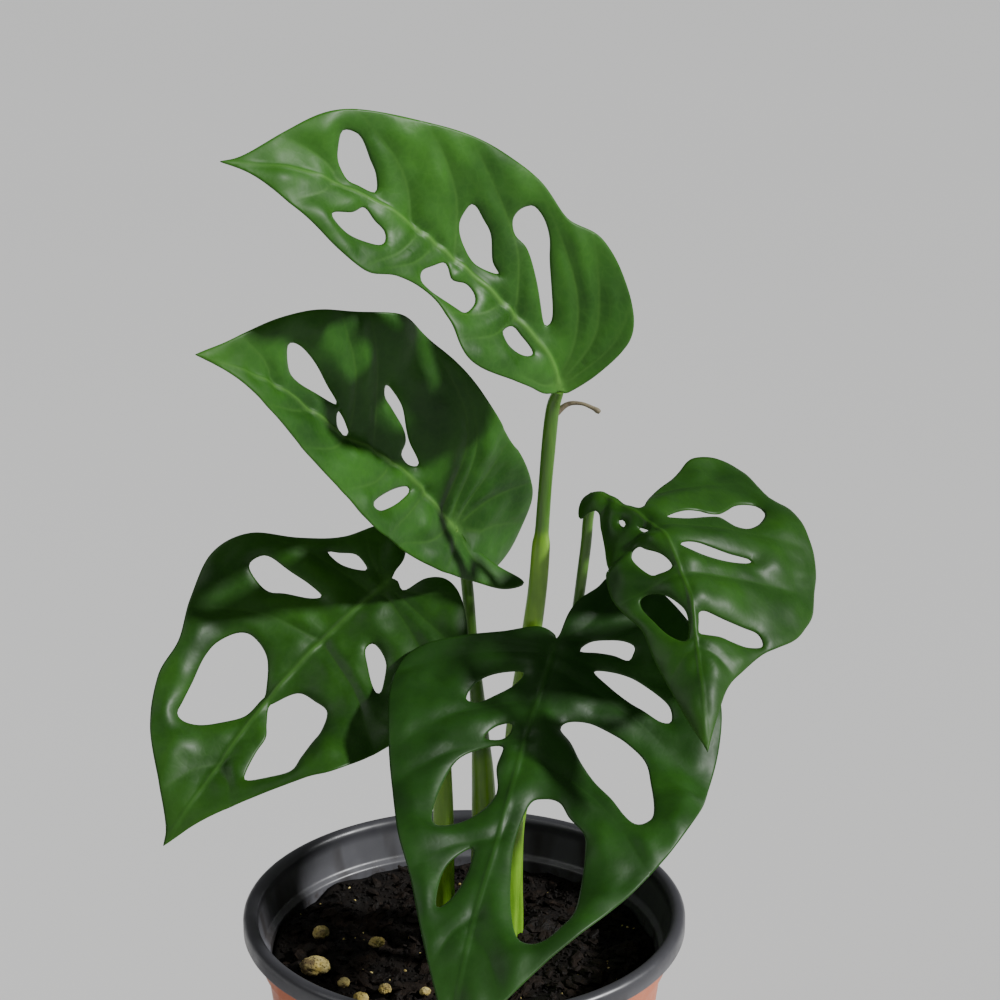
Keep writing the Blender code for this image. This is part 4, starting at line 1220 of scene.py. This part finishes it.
# %% [markdown]
# ## The soil
# Potting mix is dark peat crumb with flat flakes of bark, pale grains of perlite and a few
# stones. The body of it is one uneven disc that follows the pot's inside. The loose grains on
# top repeat by the thousand, so Geometry Nodes scatter them over the disc: each grain is a small
# ball pressed flat, turned at random, and then pushed out of shape by noise, so no two are
# alike. Four runs of the same tree make crumb, bark, larger chips and pale flecks.

# %% Soil body
SOIL_TOP = 75.5
SOIL_WAVE = 1.6
SOIL_BANK = 1.6
SOIL_SIDES = 120
SOIL_RINGS = 44
SOIL_BOTTOM = 4.3
SOIL_INSET = 1.2
CLOD_HEIGHT, CLOD_SIZE = 1.0, 7
GAP = 0.3


def soil_height(x, y):
    """The uneven top of the soil, banked up a little at the back and left."""
    bumps = (math.sin(0.21 * x + 1.3) * math.cos(0.17 * y + 0.5)
             + 0.6 * math.sin(0.37 * x - 0.31 * y))
    bank = -0.6 * x / RIM_RADIUS + 0.8 * y / RIM_RADIUS
    return SOIL_TOP + SOIL_WAVE * 0.6 * bumps + SOIL_BANK * bank


def soil_top(x, y):
    """The same top with clods and crumb."""
    clods = noise.fractal((x / CLOD_SIZE, y / CLOD_SIZE, 3.0), 0.9, 2.1, 4)
    return soil_height(x, y) + CLOD_HEIGHT * clods


def soil_mesh():
    """The top alone, as rings of triangles round its middle."""
    radius = wall_radius(SOIL_TOP - 2) - WALL - GAP
    points, faces = [(0, 0, soil_top(0, 0))], []
    for ring in range(1, SOIL_RINGS + 1):
        for i in range(SOIL_SIDES):
            angle = 2 * math.pi * (i + 0.5 * (ring % 2)) / SOIL_SIDES
            r = radius * ring / SOIL_RINGS
            x, y = r * math.cos(angle), r * math.sin(angle)
            points.append((x, y, soil_top(x, y)))
    for i in range(SOIL_SIDES):
        faces.append((0, 1 + i, 1 + (i + 1) % SOIL_SIDES))
    for ring in range(SOIL_RINGS - 1):
        a, b = 1 + ring * SOIL_SIDES, 1 + (ring + 1) * SOIL_SIDES
        for i in range(SOIL_SIDES):
            j = (i + 1) % SOIL_SIDES
            if ring % 2:
                faces += [(a + i, b + i, a + j), (b + i, b + j, a + j)]
            else:
                faces += [(a + i, b + i, b + j), (a + i, b + j, a + j)]
    return points, faces


def close_soil(points, faces):
    """The top with its wall and underside."""
    last = 1 + (SOIL_RINGS - 1) * SOIL_SIDES
    low = len(points)
    foot = wall_radius(5) - WALL - SOIL_INSET
    for i in range(SOIL_SIDES):
        angle = 2 * math.pi * (i + 0.5 * (SOIL_RINGS % 2)) / SOIL_SIDES
        points.append((foot * math.cos(angle), foot * math.sin(angle), SOIL_BOTTOM))
    points.append((0, 0, SOIL_BOTTOM))
    for i in range(SOIL_SIDES):
        j = (i + 1) % SOIL_SIDES
        faces.append((last + i, low + i, low + j, last + j))
        faces.append((len(points) - 1, low + j, low + i))
    return points, faces


def earth(name, dark, light, dry):
    """Damp crumb: nearly black, with brown fibres and drier specks. The soil's near black is partly painted
    shade.
    """
    material, tree, skin = new_material(name)
    place = in_place(tree)
    cloud = patches(tree, place, 150, 5.0, 0.35, 0.65, roughness=0.65)
    speck = patches(tree, place, 900, 4.0, 0.58, 0.72, roughness=0.7)
    colour = blend(tree, times(tree, speck, 0.6), blend(tree, cloud, dark, light), dry)
    wear(tree, skin, colour, "Base Color")
    wear(tree, skin, spread(tree, cloud, 0, 1, 0.6, 0.9), "Roughness")
    skin.inputs["Specular IOR Level"].default_value = 0.20
    relief(tree, skin, [(grain(tree, place, 700, 5.0, 0.7), 0.45),
                        (grain(tree, place, 2600, 3.0, 0.7), 0.10)])
    return material


# Damp dark crumb, with its browns darkened further as painted shade of the pot rim and leaves.
damp_earth_and_shade = earth("damp_earth_and_shade", (0.0020, 0.0012, 0.0007), (0.0060, 0.0036, 0.0021),
                   (0.026, 0.016, 0.009))
points, faces = close_soil(*soil_mesh())
settle(new_piece("soil_body", points, faces, [damp_earth_and_shade]), "potting_mix", "soil")

# %% The scatter tree
DENT_SCALE = 420.0
DENT_SHARE = 1.7


def scatter_tree():
    """Grains over a surface. Size is the mean half length in metres."""
    tree, given, out = new_tree("grain_scatter", [
        ("Density", "NodeSocketFloat"), ("Size", "NodeSocketFloat"), ("Flat", "NodeSocketFloat"),
        ("Long", "NodeSocketFloat"), ("Detail", "NodeSocketInt"), ("Lean", "NodeSocketFloat"),
        ("Seed", "NodeSocketInt"), ("Finish", "NodeSocketMaterial")])
    spots = add(tree, "GeometryNodeDistributePointsOnFaces",
                {"Mesh": given["Geometry"], "Density": given["Density"], "Seed": given["Seed"]})
    ball = add(tree, "GeometryNodeMeshIcoSphere", {"Radius": 1.0, "Subdivisions": given["Detail"]})
    size = add(tree, "FunctionNodeRandomValue", {"Min": (0.45, 0.45, 0.45), "Max": (1.5, 1.3, 1.4),
                                                 "Seed": given["Seed"]}, data_type="FLOAT_VECTOR")
    shape = add(tree, "ShaderNodeCombineXYZ", {0: given["Long"], 1: 1.0, 2: given["Flat"]})
    size = add(tree, "ShaderNodeVectorMath", {0: size.outputs[0], 1: shape.outputs[0]},
               operation="MULTIPLY")
    lean = add(tree, "ShaderNodeCombineXYZ",
               {0: given["Lean"], 1: given["Lean"], 2: math.pi}).outputs[0]
    turn = add(tree, "FunctionNodeRandomValue", {"Min": scaled(tree, lean, -1.0), "Max": lean,
                                                 "Seed": given["Seed"]}, data_type="FLOAT_VECTOR")
    turn = add(tree, "FunctionNodeEulerToRotation", {0: turn.outputs[0]})
    grains = add(tree, "GeometryNodeInstanceOnPoints",
                 {"Points": spots.outputs[0], "Instance": ball.outputs[0],
                  "Rotation": turn.outputs[0],
                  "Scale": scaled(tree, size.outputs[0], given["Size"])})
    real = add(tree, "GeometryNodeRealizeInstances", {"Geometry": grains.outputs[0]})
    rough = add(tree, "ShaderNodeTexNoise", {"Scale": DENT_SCALE, "Detail": 2.0})
    middle = add(tree, "ShaderNodeVectorMath", {0: rough.outputs["Color"], 1: (0.5, 0.5, 0.5)},
                 operation="SUBTRACT")
    push = scaled(tree, middle.outputs[0], times(tree, given["Size"], DENT_SHARE))
    shaped = add(tree, "GeometryNodeSetPosition",
                 {"Geometry": real.outputs[0], "Offset": push})
    dress(tree, shaped.outputs[0], given["Finish"], out)
    return tree


def perlite_skin():
    """Pale, slightly yellow foam stone with dark pores and a stain where it sits in the soil."""
    material, tree, skin = new_material("perlite_skin")
    place = in_place(tree)
    cloud = patches(tree, place, 500, 4.0, 0.35, 0.65)
    colour = blend(tree, cloud, (0.36, 0.27, 0.060), (0.66, 0.55, 0.22))
    foam = add(tree, "ShaderNodeTexVoronoi", {"Vector": place, "Scale": 1700.0})
    pores = spread(tree, foam.outputs["Distance"], 0.10, 0.42)
    colour = blend(tree, times(tree, maths(tree, "SUBTRACT", 1.0, pores), 0.6), colour,
                   (0.13, 0.09, 0.05))
    stain = patches(tree, place, 210, 4.0, 0.50, 0.66, 0.0, 0.85, roughness=0.6)
    wear(tree, skin, blend(tree, stain, colour, (0.06, 0.035, 0.018)), "Base Color")
    skin.inputs["Roughness"].default_value = 0.88
    relief(tree, skin, [(pores, 0.22), (grain(tree, place, 2600, 3.0), 0.06)])
    return material


# %% Scatter the grains
def scatter(name, finish, slot, reach, **values):
    """One run of the scatter. It reaches out to a share of the soil's radius. The values are
    the tree's own inputs, with Size in metres and Density in grains for each square metre."""
    top, sides = soil_mesh()
    inside = [(reach * x, reach * y, soil_top(reach * x, reach * y)) for x, y, _ in top]
    piece = new_piece(name, inside, sides, [])
    grow(piece, grains, {"Finish": finish, **values})
    settle(piece, slot)


grains = scatter_tree()
bark = earth("bark_flake", (0.0032, 0.0019, 0.0011), (0.013, 0.0072, 0.0038),
             (0.045, 0.025, 0.012))
pale_stone = perlite_skin()
scatter("soil_crumb", damp_earth_and_shade, "potting_mix", 0.975, Density=520000.0, Size=0.00052, Flat=0.8,
        Long=1.1, Detail=1, Lean=3.0, Seed=11)
scatter("soil_bark", bark, "potting_mix", 0.94, Density=62000.0, Size=0.00135, Flat=0.38,
        Long=1.5, Detail=2, Lean=0.5, Seed=23)
scatter("soil_chips", bark, "potting_mix", 0.86, Density=11000.0, Size=0.0025, Flat=0.34,
        Long=1.35, Detail=3, Lean=0.6, Seed=31)
scatter("soil_flecks", pale_stone, "perlite", 0.97, Density=16000.0, Size=0.00036, Flat=0.8,
        Long=1.1, Detail=2, Lean=3.0, Seed=5)

# %% [markdown]
# ### The pale stones
# Seven larger bits of perlite lie on the left of the soil. Each is a fine ball that is drawn out
# to its solid, so it is seated in the soil where the solid is. Two scales of noise then dent it,
# as foamed rock is dented. The pores are too small to model, so they are in the material.

# %% Stones
STONE_COUNT = 7
STONE_RINGS, STONE_SIDES = 22, 32
STONE_PLUMP = 0.93
DENTS = ((0.20, 1.9), (0.10, 4.2))


def solid_reach(node, middle, half):
    """How far the node's solid stands out from its middle, as a tree of its directions."""
    spots = np.array([tuple(p.co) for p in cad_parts[node].data.vertices]) / MM
    spots = (spots - middle) / half
    tree = kdtree.KDTree(len(spots))
    for i, direction in enumerate(unit(spots)):
        tree.insert(direction, i)
    tree.balance()
    return tree, np.linalg.norm(spots, axis=1)


def make_stone(number):
    """A ball of its solid's size, drawn to the solid's facets and dented by two noises."""
    node = f"perlite_{number}"
    low, high = (np.array(c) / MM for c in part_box(node))
    middle, half = (low + high) / 2, (high - low) / 2
    tree, reach = solid_reach(node, middle, half)
    polar = math.pi * np.arange(STONE_RINGS + 1) / STONE_RINGS
    ball, faces = turned(np.stack([np.sin(polar), -np.cos(polar)], -1), STONE_SIDES)
    shifts = (Vector((number, 0, 0)), Vector((0, number, 0)))
    shaped = []
    for p in ball:
        near = tree.find_n(p, 3)
        weights = [1 / (hit[2] + 0.05) for hit in near]
        out = sum(w * reach[hit[1]] for w, hit in zip(weights, near)) / sum(weights)
        dent = sum(deep * noise.noise(Vector(p) * scale + shift)
                   for (deep, scale), shift in zip(DENTS, shifts))
        shaped.append(middle + p * half * min(out * (STONE_PLUMP + dent), 1.0))
    settle(new_piece(f"{node}_stone", shaped, faces, [pale_stone]), "perlite", node)


for number in range(1, STONE_COUNT + 1):
    make_stone(number)
